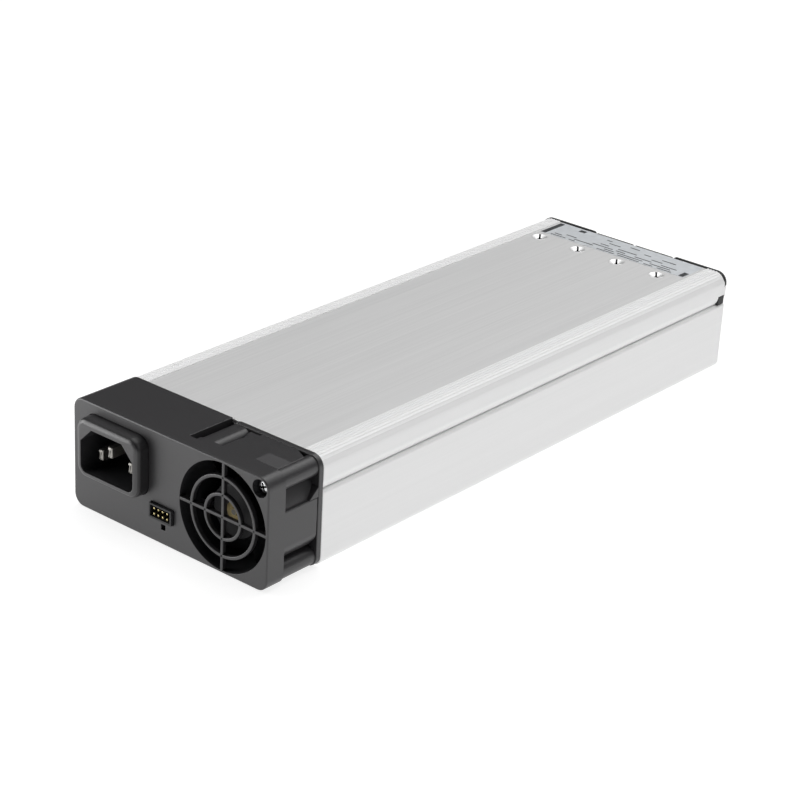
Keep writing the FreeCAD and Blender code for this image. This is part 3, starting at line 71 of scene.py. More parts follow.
def outline(corners):
    """Closed outline in millimetres; a corner's third number is the radius that rounds it."""
    points = []
    for index, corner in enumerate(corners):
        here = Vector(corner[:2])
        radius = corner[2] if len(corner) > 2 else 0
        if not radius:
            points.append(here)
            continue
        back = (Vector(corners[index - 1][:2]) - here).normalized()
        ahead = (Vector(corners[(index + 1) % len(corners)][:2]) - here).normalized()
        half = back.angle(ahead) / 2
        middle = here + (back + ahead).normalized() * (radius / math.sin(half))
        first = here + back * (radius / math.tan(half)) - middle
        last = here + ahead * (radius / math.tan(half)) - middle
        sweep = first.angle(last)
        for step in range(ARC_STEPS + 1):
            share = step / ARC_STEPS
            mixed = first * math.sin((1 - share) * sweep) + last * math.sin(share * sweep)
            points.append(middle + mixed / math.sin(sweep))
    return points


def rectangle(across, up, radius=0, radii=None):
    """Outline between two pairs of limits; radii go anticlockwise from the low left corner."""
    places = [(across[0], up[0]), (across[1], up[0]), (across[1], up[1]), (across[0], up[1])]
    return outline([(*place, r) for place, r in zip(places, radii or [radius] * 4)])


def about(middle, half):
    """The two limits that lie half a width to either side of a middle."""
    return middle - half, middle + half


def circle(middle, radius, steps=72):
    turns = [2 * math.pi * step / steps for step in range(steps)]
    places = [(middle[0] + radius * math.cos(turn), middle[1] + radius * math.sin(turn)) for turn in turns]
    return [Vector(place) for place in places]


def moved_out(points, distance):
    """An anticlockwise outline moved outwards, or inwards where the distance is negative."""
    moved = []
    for before, here, after in zip(points[-1:] + points[:-1], points, points[1:] + points[:1]):
        arrive = (here - before).normalized()
        leave = (after - here).normalized()
        normal = Vector((arrive.y + leave.y, -arrive.x - leave.x)).normalized()
        reach = normal.dot(Vector((arrive.y, -arrive.x)))
        moved.append(here + normal * (distance / max(0.5, reach)))
    return moved


AXES = {
    "X": lambda point, depth: (depth, point.x, point.y),
    "Y": lambda point, depth: (point.x, depth, point.y),
    "Z": lambda point, depth: (point.x, point.y, depth),
}


def rounded_rows(span, edges):
    """Insets and depths of the rings that make a prism with rounded ends."""
    rows = []
    for end, (depth, radius) in enumerate(zip(span, edges)):
        steps = EDGE_STEPS if radius else 1
        turns = [math.pi / 2 * step / steps for step in range(0 if radius else 1, steps + 1)]
        inward = 1 if end == 0 else -1
        ring_rows = [(radius * (1 - math.sin(t)), depth + inward * radius * (1 - math.cos(t))) for t in turns]
        rows += ring_rows if end == 0 else ring_rows[::-1]
    return rows


def extruded(shell, outer, span, edges=(0, 0), holes=(), mouths=(0, 0), axis="Y"):
    """Adds a closed prism to a shell; edges round its two ends and mouths round those of its holes."""
    ends = {0: [], -1: []}
    for number, loop in enumerate([outer, *holes]):
        area = sum(a.cross(b) for a, b in zip(loop, loop[1:] + loop[:1]))
        loop = loop if area > 0 else loop[::-1]
        side = -1 if number == 0 else 1
        rings = []
        for inset, depth in rounded_rows(span, edges if number == 0 else mouths):
            flat = moved_out(loop, side * inset) if inset else loop
            rings.append((flat, [shell.verts.new(AXES[axis](point, depth)) for point in flat]))
        for (_, near), (_, far) in zip(rings, rings[1:]):
            for index in range(len(near)):
                shell.faces.new((near[index - 1], near[index], far[index], far[index - 1]))
        for end in ends:
            ends[end].append(rings[end])
    for rings in ends.values():
        corners = [corner for _, ring in rings for corner in ring]
        for triangle in tessellate_polygon([[point.to_3d() for point in flat] for flat, _ in rings]):
            shell.faces.new([corners[index] for index in triangle])
    return shell


def mesh_object(name, shell, material):
    """Turns a shell drawn in millimetres into an object in metres, smooth apart from its sharp edges."""
    bmesh.ops.recalc_face_normals(shell, faces=shell.faces)
    shell.transform(Matrix.Scale(MM, 4))
    mesh = bpy.data.meshes.new(name)
    shell.to_mesh(mesh)
    shell.free()
    mesh.materials.append(material)
    mesh.shade_smooth()
    mesh.set_sharp_from_angle(angle=SHARP_EDGE)
    item = bpy.data.objects.new(name, mesh)
    bpy.context.scene.collection.objects.link(item)
    return item


def evaluated_mesh(item):
    """A plain mesh of an object with its modifiers applied."""
    return bpy.data.meshes.new_from_object(item.evaluated_get(bpy.context.evaluated_depsgraph_get()))


def cut_away(shell, tools, material, inside=None):
    """Takes the room of some tools out of a shell; cut faces have index 1 where their finish differs."""
    whole = mesh_object("cut_whole", shell, material)
    taken = mesh_object("cut_taken", tools, inside or material)
    cut = whole.modifiers.new("cut", "BOOLEAN")
    cut.operation = "DIFFERENCE"
    cut.solver = "EXACT"
    cut.use_self = True
    cut.material_mode = "TRANSFER"
    cut.object = taken
    left = bmesh.new()
    left.from_mesh(evaluated_mesh(whole))
    left.transform(Matrix.Scale(1 / MM, 4))
    bmesh.ops.dissolve_degenerate(left, dist=1e-5, edges=left.edges)
    bpy.data.objects.remove(whole)
    bpy.data.objects.remove(taken)
    return left


def piece(item, nodes, body="case"):
    """Keeps flat faces flat beside rounded edges, then hands the object over as a finished piece."""
    weighted = item.modifiers.new("flat faces", "WEIGHTED_NORMAL")
    weighted.keep_sharp = True
    weighted.weight = 100
    item.data = evaluated_mesh(item)
    item.modifiers.remove(weighted)
    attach(item, body)
    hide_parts(*nodes)
    return item


def linear(hex_colour):
    """sRGB hex colour to the linear colour that a shader takes."""
    shares = [int(hex_colour[i : i + 2], 16) / 255 for i in (1, 3, 5)]
    curved = [s / 12.92 if s <= 0.04045 else ((s + 0.055) / 1.055) ** 2.4 for s in shares]
    return (*curved, 1.0)


def feed(tree, node, inputs):
    """Gives a node its inputs: each is a value, an output, or a node that stands for its first output."""
    for name, value in inputs.items():
        source = value.outputs[0] if isinstance(value, bpy.types.Node) else value
        if isinstance(source, bpy.types.NodeSocket):
            tree.links.new(source, node.inputs[name])
        else:
            node.inputs[name].default_value = source


def add(tree, kind, inputs=None, **settings):
    """Adds a node with its settings and inputs to a tree."""
    node = tree.nodes.new(kind)
    for name, value in settings.items():
        setattr(node, name, value)
    feed(tree, node, inputs or {})
    return node


def grained(name, shades, roughness, grain, relief, metallic=0.0, ior=1.5, detail=3.0):
    """A finish whose shade, gloss and relief follow a grain of a real size.

    Shades and roughness are the ends of a range. Grain is a size in millimetres along X, Y and Z, and relief
    is a height in millimetres.
    """
    material = bpy.data.materials.new(name)
    material.use_nodes = True
    tree = material.node_tree
    spot = add(tree, "ShaderNodeTexCoord").outputs["Object"]
    sized = add(tree, "ShaderNodeMapping", {"Vector": spot, "Scale": [1 / (size * MM) for size in grain]})
    noise = add(tree, "ShaderNodeTexNoise", {"Vector": sized, "Scale": 1.0, "Detail": detail})
    level = add(tree, "ShaderNodeMapRange", {"Value": noise, "From Min": NOISE_LOW, "From Max": NOISE_HIGH})
    shade = {MIX_SHARE: level, MIX_FIRST: linear(shades[0]), MIX_LAST: linear(shades[1])}
    colour = add(tree, "ShaderNodeMix", shade, data_type="RGBA").outputs[MIX_COLOUR]
    gloss = add(tree, "ShaderNodeMapRange", {"Value": level, "To Min": roughness[0], "To Max": roughness[1]})
    bump = add(tree, "ShaderNodeBump", {"Height": level, "Distance": relief * MM})
    finish = {"Base Color": colour, "Roughness": gloss, "Normal": bump, "Metallic": metallic, "IOR": ior}
    feed(tree, tree.nodes["Principled BSDF"], finish)
    return material


# Etching and anodising leave the metal pale and matt, so that it shades almost like a white paint.
# Faint die lines run along it, drawn 1 mm apart, several times coarser than real ones, so that they show.
matt_aluminium = grained(
    "Matt anodised aluminium", ("#f1f1f1", "#f4f4f4"), (0.62, 0.68), (1.0, 120.0, 1.0), 0.001, metallic=0.4
)

tray_low, tray_high = room("base_tray")
half_width = tray_high.x
tray_wall = 2.5
tray_floor = 2.0
foot_radius = 3.2
rim_radius = 0.5
rim_outer = 1.2
floor_corner = 1.0
sawn_edge = 0.3
tray_inner = half_width - tray_wall
tray_outline = outline(
    [
        (-half_width, 0, foot_radius),
        (half_width, 0, foot_radius),
        (half_width, tray_high.z, rim_outer),
        (tray_inner, tray_high.z, rim_radius),
        (tray_inner, tray_floor, floor_corner),
        (-tray_inner, tray_floor, floor_corner),
        (-tray_inner, tray_high.z, rim_radius),
        (-half_width, tray_high.z, rim_outer),
    ]
)
tray = extruded(bmesh.new(), tray_outline, (tray_low.y, tray_high.y), (sawn_edge, sawn_edge))
nuts_low, nuts_high = room("mounting_nuts")
nut_flange = 4.0
nut_shank = 2.7
floor_holes = bmesh.new()
through_floor = (-CUT_PAST, tray_floor + CUT_PAST)
for x in (nuts_low.x + nut_flange, nuts_high.x - nut_flange):
    for y in (nuts_low.y + nut_flange, nuts_high.y - nut_flange):
        extruded(floor_holes, circle((x, y), nut_shank), through_floor, axis="Z")
tab_low, tab_high = room("bezel_screws")
tab_head = 2.9
tab_places = (tab_low.x + tab_head, tab_high.x - tab_head)
for x in tab_places:
    extruded(floor_holes, circle((x, (tab_low.y + tab_high.y) / 2), tab_head), through_floor, axis="Z")
tray = cut_away(tray, floor_holes, matt_aluminium)
piece(mesh_object("tray", tray, matt_aluminium), ["base_tray"])


# Mounting nuts, standoffs, board screws and the screws that hold the front
# Turned and headed steel, zinc plated. The nuts are pressed into the floor and the standoffs stand on it.
# Plating is bright with a slight haze, and turning leaves it a little uneven.
def dress(material, *nodes):
    """Gives a finish to CAD nodes that are shown as they are."""
    for node in nodes:
        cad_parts[node].data.materials[0] = material


zinc_steel = grained(
    "Zinc plated steel", ("#c9cbcc", "#e8e9ea"), (0.22, 0.34), (0.6, 0.6, 0.6), 0.003, metallic=1.0
)
dress(zinc_steel, "mounting_nuts", "board_standoffs", "board_screws", "bezel_screws")

# Insulation film between the floor and the boards
# Cut polyester sheet, laid in loose. Milky and glossy, with slow waves.
polyester_film = grained("Milky polyester film", ("#d2d0c6", "#dedcd2"), (0.18, 0.3), (14, 14, 14), 0.05)
dress(polyester_film, "insulation_sheet")

# Circuit boards: the main board, the bus board, one in each output module and one in the fan
# Glass-fibre laminate under green solder mask; the copper under the mask shows as paler patches.
# The patches are about 3 mm across, the width of a power track.
solder_mask = grained("Green solder mask", ("#123d22", "#1f5c34"), (0.3, 0.42), (3, 3, 3), 0.03, detail=1.0)
module_boards = [f"module_{number}_board" for number in (1, 2, 3, 4)]
dress(solder_mask, "main_board", "bus_board", "fan_board", *module_boards)


# Chokes and the fan's coils
# Enamelled copper wire wound on the cores, drawn as slanting bands one wire apart.
# The enamel is glossy and darkens towards the gap between two turns.
def wound(name, shades, wire):
    """A finish for a winding of a wire with this diameter in millimetres."""
    material = grained(name, shades, (0.25, 0.35), (wire, wire, wire), 0.02, metallic=0.6)
    tree = material.node_tree
    spot = tree.nodes["Texture Coordinate"].outputs["Object"]
    # The wave takes 10 times the sum of X, Y and Z as its angle.
    scale = 2 * math.pi / (10 * math.sqrt(3) * wire * MM)
    band = {"Vector": spot, "Scale": scale}
    band = add(tree, "ShaderNodeTexWave", band, bands_direction="DIAGONAL").outputs["Fac"]
    bump = add(tree, "ShaderNodeBump", {"Height": band, "Distance": 0.4 * wire * MM})
    feed(tree, tree.nodes["Principled BSDF"], {"Normal": bump})
    return material


copper_wire = wound("Enamelled copper wire", ("#7a3c1c", "#a85a30"), 1.4)
dress(copper_wire, "filter_choke_windings", "boost_choke_winding", "fan_coils")

# Cores of the chokes and transformers, and the fan's stator and magnet
# Pressed and sintered ferrite or stacked sheet: dark grey, dull, with a fine sparkle of pores.
ferrite = grained("Sintered ferrite", ("#2b2b2d", "#3c3c3f"), (0.6, 0.75), (0.5, 0.5, 0.5), 0.02)
dress(
    ferrite, "filter_choke_core", "boost_choke_core", "transformer_core", "module_transformers", "fan_magnet",
    "fan_stator",
)

# Transformer coil
# Wire on a bobbin, wrapped in yellow polyester tape. Tape is smooth and shows the turns as slow ripples.
coil_tape = grained("Yellow polyester tape", ("#b58a12", "#d1a422"), (0.2, 0.3), (6, 6, 1.2), 0.05)
dress(coil_tape, "transformer_coil")

# Capacitors
# Filter capacitors are moulded yellow boxes filled with epoxy.
# Bulk capacitors are aluminium cans in a black shrink sleeve.
moulded_box = grained("Moulded yellow polyester", ("#b8912a", "#c9a138"), (0.35, 0.45), (0.6, 0.6, 0.6), 0.01)
dress(moulded_box, "filter_capacitors")
shrink_sleeve = grained("Black shrink sleeve", ("#17181b", "#222428"), (0.25, 0.38), (4, 20, 4), 0.03)
dress(shrink_sleeve, "bulk_capacitors")

# Input fuse
# Ceramic tube with plated caps in clips; shown in the glaze of the tube. The glaze is slightly uneven.
glazed_ceramic = grained("Glazed ceramic", ("#cdc8b8", "#ddd9cc"), (0.15, 0.3), (2, 2, 2), 0.01)
dress(glazed_ceramic, "input_fuse")

# Heat sink and the modules' heat plates
# Plain extruded aluminium, left as it comes from the die, with drawing lines along its length.
plain_aluminium = grained(
    "Plain extruded aluminium", ("#b9bbbd", "#d0d2d3"), (0.35, 0.5), (0.7, 60, 0.7), 0.004, metallic=1.0
)
dress(plain_aluminium, "heat_sink", "module_heat_plates")

# Rectifier, transistors, sockets, trimmer housings and the fan's plug and lead
# Small black mouldings. Glass-filled nylon and epoxy are dull, with a fine mottle.
black_nylon = grained("Moulded black nylon", ("#111113", "#1c1c1f"), (0.45, 0.6), (0.5, 0.5, 0.5), 0.008)
dress(
    black_nylon, "bridge_rectifier", "power_transistors", "module_sockets", "trimmer_housings", "fan_plug",
    "fan_lead",
)

# Module end plates
# Pressed steel with black powder coat, one on each output module, screwed to its heat plate.
# Openings let out the terminals, the trimmer and the air. Powder coat is dull with a slight orange peel.
powder_coat = grained("Black powder coat", ("#161617", "#202022"), (0.4, 0.52), (0.9, 0.9, 0.9), 0.015)
slot_pitch = 18.9
slots_middle = 0.8
slot_centres = [slots_middle + slot_pitch * place for place in (-1.5, -0.5, 0.5, 1.5)]
plate_edge = 0.2
plate_corner = 0.9
opening_half = 8.2
opening_heights = (13.3, 21.4)
vent_half = 7.0
vent_height = 1.2
vent_corner = 0.45 * vent_height
vent_rows = (4.6, 6.8, 9.0, 23.2, 25.4)
trimmer_shift = 5.0
trimmer_height = 31.1
trimmer_hole = 2.2
shoulder_height = 34.8
inset_half = 41.7
end_corner = 4.3
end_rise = 0.1
end_edge = 0.15
middle_drop = 0.18
middle_edge = 0.9
for number, centre in enumerate(slot_centres, start=1):
    low, high = room(f"module_{number}_end_plate")
    if number in (1, 4):
        high.z += end_rise
        rear_edge = end_edge
        side = -1 if number == 1 else 1
        inner = high.x if side < 0 else low.x
        outer = side * half_width
        plate_outline = outline(
            [
                (inner, low.z, plate_edge),
                (side * inset_half, low.z, plate_edge),
                (side * inset_half, shoulder_height),
                (outer, shoulder_height, plate_edge),
                (outer, high.z, end_corner),
                (inner, high.z, plate_corner),
            ]
        )
    else:
        high.z -= middle_drop
        rear_edge = middle_edge
        plate_radii = (plate_edge, plate_edge, plate_corner, plate_corner)
        plate_outline = rectangle((low.x, high.x), (low.z, high.z), radii=plate_radii)
    openings = [
        rectangle(about(centre, opening_half), opening_heights, radius=0.6),
        circle((centre + trimmer_shift, trimmer_height), trimmer_hole, 40),
    ]
    for row in vent_rows:
        openings.append(rectangle(about(centre, vent_half), (row, row + vent_height), vent_corner))
    plate = extruded(
        bmesh.new(), plate_outline, (low.y, high.y), (0, rear_edge), openings, (0, 0.5 * plate_edge)
    )
    plate = mesh_object(f"end_plate_{number}", plate, powder_coat)
    piece(plate, [f"module_{number}_end_plate"])

# Trimmer adjusters
# Moulded white acetal with a screwdriver slot, one in each module, turning in a black housing.
white_acetal = grained("Moulded white acetal", ("#d8d7cf", "#e4e3dc"), (0.3, 0.4), (0.4, 0.4, 0.4), 0.004)
dress(white_acetal, *[f"module_{number}_trimmer" for number in (1, 2, 3, 4)])


# Output terminals and their screws
# Tinned copper-alloy blocks, two on each module, with a plated cross-head screw and washer for a ring lug.
# The tin is pale and slightly frosted.
def turned(shell, profile, middle, axis="Y", steps=48):
    """Adds a turned shape; its profile of (radius, depth) goes from axis to axis or round to its start."""
    rings = []
    for radius, depth in profile:
        if radius:
            rings.append([shell.verts.new(AXES[axis](p, depth)) for p in circle(middle, radius, steps)])
        else:
            rings.append([shell.verts.new(AXES[axis](Vector(middle), depth))] * steps)
    for near, far in zip(rings, rings[1:]):
        for index in range(steps):
            corners = [near[index - 1], near[index], far[index], far[index - 1]]
            shell.faces.new(list(dict.fromkeys(corners)))
    if profile[0] == profile[-1]:
        bmesh.ops.remove_doubles(shell, verts=shell.verts, dist=1e-4)
    return shell


def driven_screw(name, profile, middle, slots, material, axis="Y", corner=0.2):
    """A turned screw with a driver recess, whose faces are marked so that the finish can paint shade on them.

    A slot of the recess is its length, its width, its turn in degrees and its span along the axis.
    """
    recess = bmesh.new()
    for length, width, turn, span in slots:
        bar = rectangle(about(0, length / 2), about(0, width / 2), corner)
        spin = Matrix.Rotation(math.radians(turn), 2)
        extruded(recess, [Vector(middle) + spin @ point for point in bar], span, axis=axis)
    shell = turned(bmesh.new(), profile, middle, axis)
    item = mesh_object(name, cut_away(shell, recess, material, black_nylon), material)
    marks = item.data.attributes.new("recess", "FLOAT", "FACE")
    for face in item.data.polygons:
        marks.data[face.index].value = face.material_index
        face.material_index = 0
    return item


def with_painted_recess_shade(material):
    """Paints the marked faces of a driver recess nearly black, as painted shade and a painted reflection of
    the dark room.
    """
    tree = material.node_tree
    shader = tree.nodes["Principled BSDF"]
    plating = shader.inputs["Base Color"].links[0].from_socket
    marked = add(tree, "ShaderNodeAttribute", attribute_name="recess").outputs["Fac"]
    shades = {MIX_SHARE: marked, MIX_FIRST: plating, MIX_LAST: linear("#1c1c1c")}
    mixed = add(tree, "ShaderNodeMix", shades, data_type="RGBA")
    feed(tree, shader, {"Base Color": mixed.outputs[MIX_COLOUR]})


def node_tree(name, sockets):
    """A Geometry Nodes tree with named inputs, and the outputs of its input node."""
    tree = bpy.data.node_groups.new(name, "GeometryNodeTree")
    tree.interface.new_socket("Geometry", in_out="OUTPUT", socket_type="NodeSocketGeometry")
    for label, kind in {"Geometry": "Geometry", **sockets, "Finish": "Material"}.items():
        tree.interface.new_socket(label, in_out="INPUT", socket_type=f"NodeSocket{kind}")
    return tree, add(tree, "NodeGroupInput").outputs


def end_tree(tree, copies, finish):
    """Ends a tree in one plain mesh with its material."""
    whole = add(tree, "GeometryNodeRealizeInstances", {"Geometry": copies})
    dressed = add(tree, "GeometryNodeSetMaterial", {"Geometry": whole, "Material": finish})
    add(tree, "NodeGroupOutput", {"Geometry": dressed})


def grown(item, tree, values):
    """Runs a tree on an object and keeps the result as the object's plain mesh."""
    sockets = [socket for socket in tree.interface.items_tree if socket.in_out == "INPUT"]
    identifiers = {socket.name: socket.identifier for socket in sockets}
    modifier = item.modifiers.new(tree.name, "NODES")
    modifier.node_group = tree
    for label, value in values.items():
        modifier[identifiers[label]] = value
    item.data = evaluated_mesh(item)
    item.modifiers.remove(modifier)
    return item


rows_tree, given = node_tree(
    "Rows of copies", {"Columns": "Int", "Column step": "Vector", "Rows": "Int", "Row step": "Vector"}
)
line = add(rows_tree, "GeometryNodeMeshLine", {"Count": given["Columns"], "Offset": given["Column step"]})
stack = add(rows_tree, "GeometryNodeMeshLine", {"Count": given["Rows"], "Offset": given["Row step"]})
grid = add(rows_tree, "GeometryNodeInstanceOnPoints", {"Points": stack, "Instance": line})
grid = add(rows_tree, "GeometryNodeRealizeInstances", {"Geometry": grid})
copies = add(rows_tree, "GeometryNodeInstanceOnPoints", {"Points": grid, "Instance": given["Geometry"]})
end_tree(rows_tree, copies, given["Finish"])


def in_rows(item, columns, column_step, rows=1, row_step=(0, 0, 0)):
    """Repeats an object's mesh along two steps in millimetres."""
    steps = {"Column step": [s * MM for s in column_step], "Row step": [s * MM for s in row_step]}
    counts = {"Columns": columns, "Rows": rows, "Finish": item.data.materials[0]}
    return grown(item, rows_tree, {**counts, **steps})


tinned = grained(
    "Tinned copper alloy", ("#b9b7b0", "#d4d2cb"), (0.3, 0.42), (1.2, 1.2, 1.2), 0.004, metallic=1.0
)
terminal_pitch = 8.8
terminal_low, terminal_high = room("output_terminals")
terminal_middle = (slot_centres[0] - terminal_pitch / 2, (terminal_low.z + terminal_high.z) / 2)
block_width = 7.0
block_across = (terminal_low.x, terminal_low.x + block_width)
block = rectangle(block_across, (terminal_low.z, terminal_high.z), radius=0.5)
block = extruded(bmesh.new(), block, (terminal_low.y, terminal_high.y), edges=(0, 0.4))
block = mesh_object("output_terminal_blocks", block, tinned)
in_rows(block, 2, (terminal_pitch, 0, 0), 4, (slot_pitch, 0, 0))
piece(block, ["output_terminals"])
screw_low, screw_high = room("terminal_screws")
washer_thick = 1.0
washer_face = terminal_high.y + washer_thick
screw_profile = [
    (0, screw_low.y), (2.0, screw_low.y), (2.0, terminal_high.y), (3.9, terminal_high.y),
    (4.1, terminal_high.y + 0.2), (4.1, washer_face - 0.2), (3.9, washer_face), (3.5, washer_face),
    (3.6, washer_face + 0.2), (3.6, screw_high.y - 1.1), (3.3, screw_high.y - 0.5),
    (2.6, screw_high.y - 0.1), (1.6, screw_high.y), (0, screw_high.y),
]
cross_depth = 1.4
cross_span = (screw_high.y - cross_depth, screw_high.y + CUT_PAST)
terminal_cross = [(3.4, 0.9, turn, cross_span) for turn in (0, 90)]
# The driver recesses of these screws get painted shade.
with_painted_recess_shade(zinc_steel)
screw = driven_screw("terminal_screw_set", screw_profile, terminal_middle, terminal_cross, zinc_steel)
in_rows(screw, 2, (terminal_pitch, 0, 0), 4, (slot_pitch, 0, 0))
piece(screw, ["terminal_screws"])

# Top cover
# Aluminium extrusion that hooks inside the tray; its curved lip over the tray's rim leaves a shadow groove.
# Fine ribs run along both shoulders. Matt like the tray, apart from the panel between the ribs.
cover_low, cover_high = room("top_cover")
cover_front = cover_low.y
plate_gap = 0.1
cover_rear = room("module_2_end_plate")[0].y - plate_gap
panel_top = 39.6
panel_half = 35.8
cover_corner = 4.7
rib_height = 0.2
rib_zone = math.radians(60)
rib_fade = math.radians(74)
lip_gap = 0.2
lip_height = tray_high.z + lip_gap
lip_rise = 2.0
lip_inset = 1.5
lip_radius = 5.0
side_wall = 2.3
underside = 37.8
tongue_out = 41.6
tongue_in = 39.9
tongue_root = 28.6
inside_corner = 2.0
corner_middle = (half_width - cover_corner, cover_high.z - cover_corner)


def corner_arc(radius, first, last):
    """Points round the shoulder's corner between two angles from upright."""
    turns = [first + (last - first) * step / ARC_STEPS for step in range(ARC_STEPS + 1)]
    return [(corner_middle[0] + radius * math.sin(t), corner_middle[1] + radius * math.cos(t)) for t in turns]


def shoulder(side):
    """One side of the cover's outline: rib seat, rounded corner, lip, tongue and the inside."""
    inner = half_width - side_wall
    run = [
        (panel_half, panel_top), (panel_half, cover_high.z - rib_height),
        *corner_arc(cover_corner - rib_height, 0, rib_zone), *corner_arc(cover_corner, rib_fade, math.pi / 2),
        (half_width, lip_height + lip_rise, lip_radius), (half_width - lip_inset, lip_height),
        (tongue_out, lip_height), (tongue_out, cover_low.z),
        (tongue_in, cover_low.z), (tongue_in, tongue_root),
        (inner, tongue_root + side_wall), (inner, underside, inside_corner),
    ]
    return [(side * corner[0], *corner[1:]) for corner in run]


cover_outline = outline(shoulder(1) + shoulder(-1)[::-1])
cover = extruded(bmesh.new(), cover_outline, (cover_front, cover_rear), (sawn_edge, 0))
step_height = 34.5
step_inner = 42.0
notches = bmesh.new()
plug_low, plug_high = room("groove_plugs")
plug_depth = 1.3
plug_room = 0.1
for side in (-1, 1):
    end_outline = outline(
        [
            (side * half_width, step_height), (side * half_width, lip_height + lip_rise, lip_radius),
            (side * (half_width - lip_inset), lip_height), (side * step_inner, lip_height),
            (side * step_inner, step_height),
        ]
    )
    extruded(cover, end_outline, (cover_rear, cover_high.y), (0, sawn_edge))
    depth = sorted((side * (half_width - plug_depth - plug_room), side * (half_width + CUT_PAST)))
    notch = rectangle(depth, (plug_low.y - plug_room, plug_high.y + plug_room), radius=0.1)
    extruded(notches, notch, (plug_low.z - CUT_PAST, plug_high.z + plug_room), axis="Z")
cover_screw_low, cover_screw_high = room("module_screws")
head_radius = 3.1
head_room = 0.05
cover_screw_y = (cover_screw_low.y + cover_screw_high.y) / 2
first_screw = (cover_screw_low.x + head_radius, cover_screw_y)
through_panel = (underside - CUT_PAST, panel_top + CUT_PAST)
for number in range(4):
    middle = (first_screw[0] + slot_pitch * number, cover_screw_y)
    extruded(notches, circle(middle, head_radius + head_room), through_panel, axis="Z")
cover = cut_away(cover, notches, matt_aluminium)
cover = mesh_object("cover", cover, matt_aluminium)

# The panel is brushed along its length after etching, so it is metallic and darker than the shoulders.
# The lines are drawn 0.8 mm apart, several times coarser than real ones, so that they show.
brushed_aluminium = grained(
    "Brushed anodised aluminium", ("#dbdbdb", "#e3e3e3"), (0.62, 0.66), (0.8, 90.0, 0.8), 0.002, metallic=1.0
)
cover.data.materials.append(brushed_aluminium)
for face in cover.data.polygons:
    x, _, z = face.center / MM
    if face.normal.z > 0.9 and abs(z - panel_top) < 0.1 and abs(x) < panel_half:
        face.material_index = 1
piece(cover, ["top_cover"])

# Ribs of the cover
# Seven fine ribs on each shoulder, extruded in one with the cover; they follow it round the corner.
rib_tree, given = node_tree(
    "Ribs round a shoulder",
    {
        "Count": "Int", "First": "Float", "Pitch": "Float", "Flat": "Float",
        "Radius": "Float", "Sink": "Float", "Side": "Float", "Start": "Vector",
    },
)
# A rib's run from the panel is level first and then leans over round the corner.
rib_sums = {
    "run": ("MULTIPLY_ADD", "index", "Pitch", "First"),
    "level": ("MINIMUM", "run", "Flat"),
    "past": ("SUBTRACT", "run", "level"),
    "lean": ("DIVIDE", "past", "Radius"),
    "sunk": ("MULTIPLY", "lean", "Sink"),
    "reach": ("SUBTRACT", "Radius", "sunk"),
    "sine": ("SINE", "lean"),
    "out": ("MULTIPLY_ADD", "sine", "reach", "level"),
    "across": ("MULTIPLY", "out", "Side"),
    "cosine": ("COSINE", "lean"),
    "rise": ("MULTIPLY", "cosine", "reach"),
    "drop": ("SUBTRACT", "rise", "Radius"),
    "turn": ("MULTIPLY", "lean", "Side"),
}
known = {"index": add(rib_tree, "GeometryNodeInputIndex"), **dict(given.items())}
for name, (operation, *terms) in rib_sums.items():
    inputs = {number: known[term] for number, term in enumerate(terms)}
    known[name] = add(rib_tree, "ShaderNodeMath", inputs, operation=operation)
rib_shift = add(rib_tree, "ShaderNodeCombineXYZ", {"X": known["across"], "Z": known["drop"]})
rib_place = add(rib_tree, "ShaderNodeVectorMath", {0: rib_shift, 1: given["Start"]}, operation="ADD")
rib_turn = add(rib_tree, "ShaderNodeCombineXYZ", {"Y": known["turn"]})
points = add(rib_tree, "GeometryNodeMeshLine", {"Count": given["Count"], "Offset": (0, 0, 0)})
points = add(rib_tree, "GeometryNodeSetPosition", {"Geometry": points, "Position": rib_place})
copies = {"Points": points, "Instance": given["Geometry"], "Rotation": rib_turn}
copies = add(rib_tree, "GeometryNodeInstanceOnPoints", copies)
end_tree(rib_tree, copies, given["Finish"])
rib_count = 7
rib_first = 0.6
rib_pitch = 1.28
rib_half = 0.5
rib_root = 0.5
rib_crest = 0.42
# A rib stands less proud the further it leans, by this much for each radian.
rib_settle = 0.18
rib_values = {
    "Count": rib_count, "First": rib_first * MM, "Pitch": rib_pitch * MM, "Radius": cover_corner * MM,
    "Flat": (corner_middle[0] - panel_half) * MM, "Sink": rib_settle * MM, "Finish": matt_aluminium,
}
rib_outline = rectangle(about(0, rib_half), (-rib_root, 0), radii=(0, 0, rib_crest, rib_crest))
for side in (-1, 1):
    rib = extruded(bmesh.new(), rib_outline, (cover_front, cover_rear), edges=(0.1, 0.1))
    rib = mesh_object("ribs_right" if side > 0 else "ribs_left", rib, matt_aluminium)
    rib_start = [side * panel_half * MM, 0, cover_high.z * MM]
    grown(rib, rib_tree, {**rib_values, "Side": float(side), "Start": rib_start})
    piece(rib, [])

# Groove plugs
# Small black mouldings pressed into the rear ends of the side grooves.
plugs = bmesh.new()
plug = rectangle((plug_low.y, plug_high.y), (plug_low.z, plug_high.z), radius=0.4)
for side in (-1, 1):
    depth = sorted((side * (half_width - plug_depth), side * half_width))
    extruded(plugs, plug, depth, edges=(0.2, 0.2), axis="X")
piece(mesh_object("groove_plug_pair", plugs, black_nylon), ["groove_plugs"])

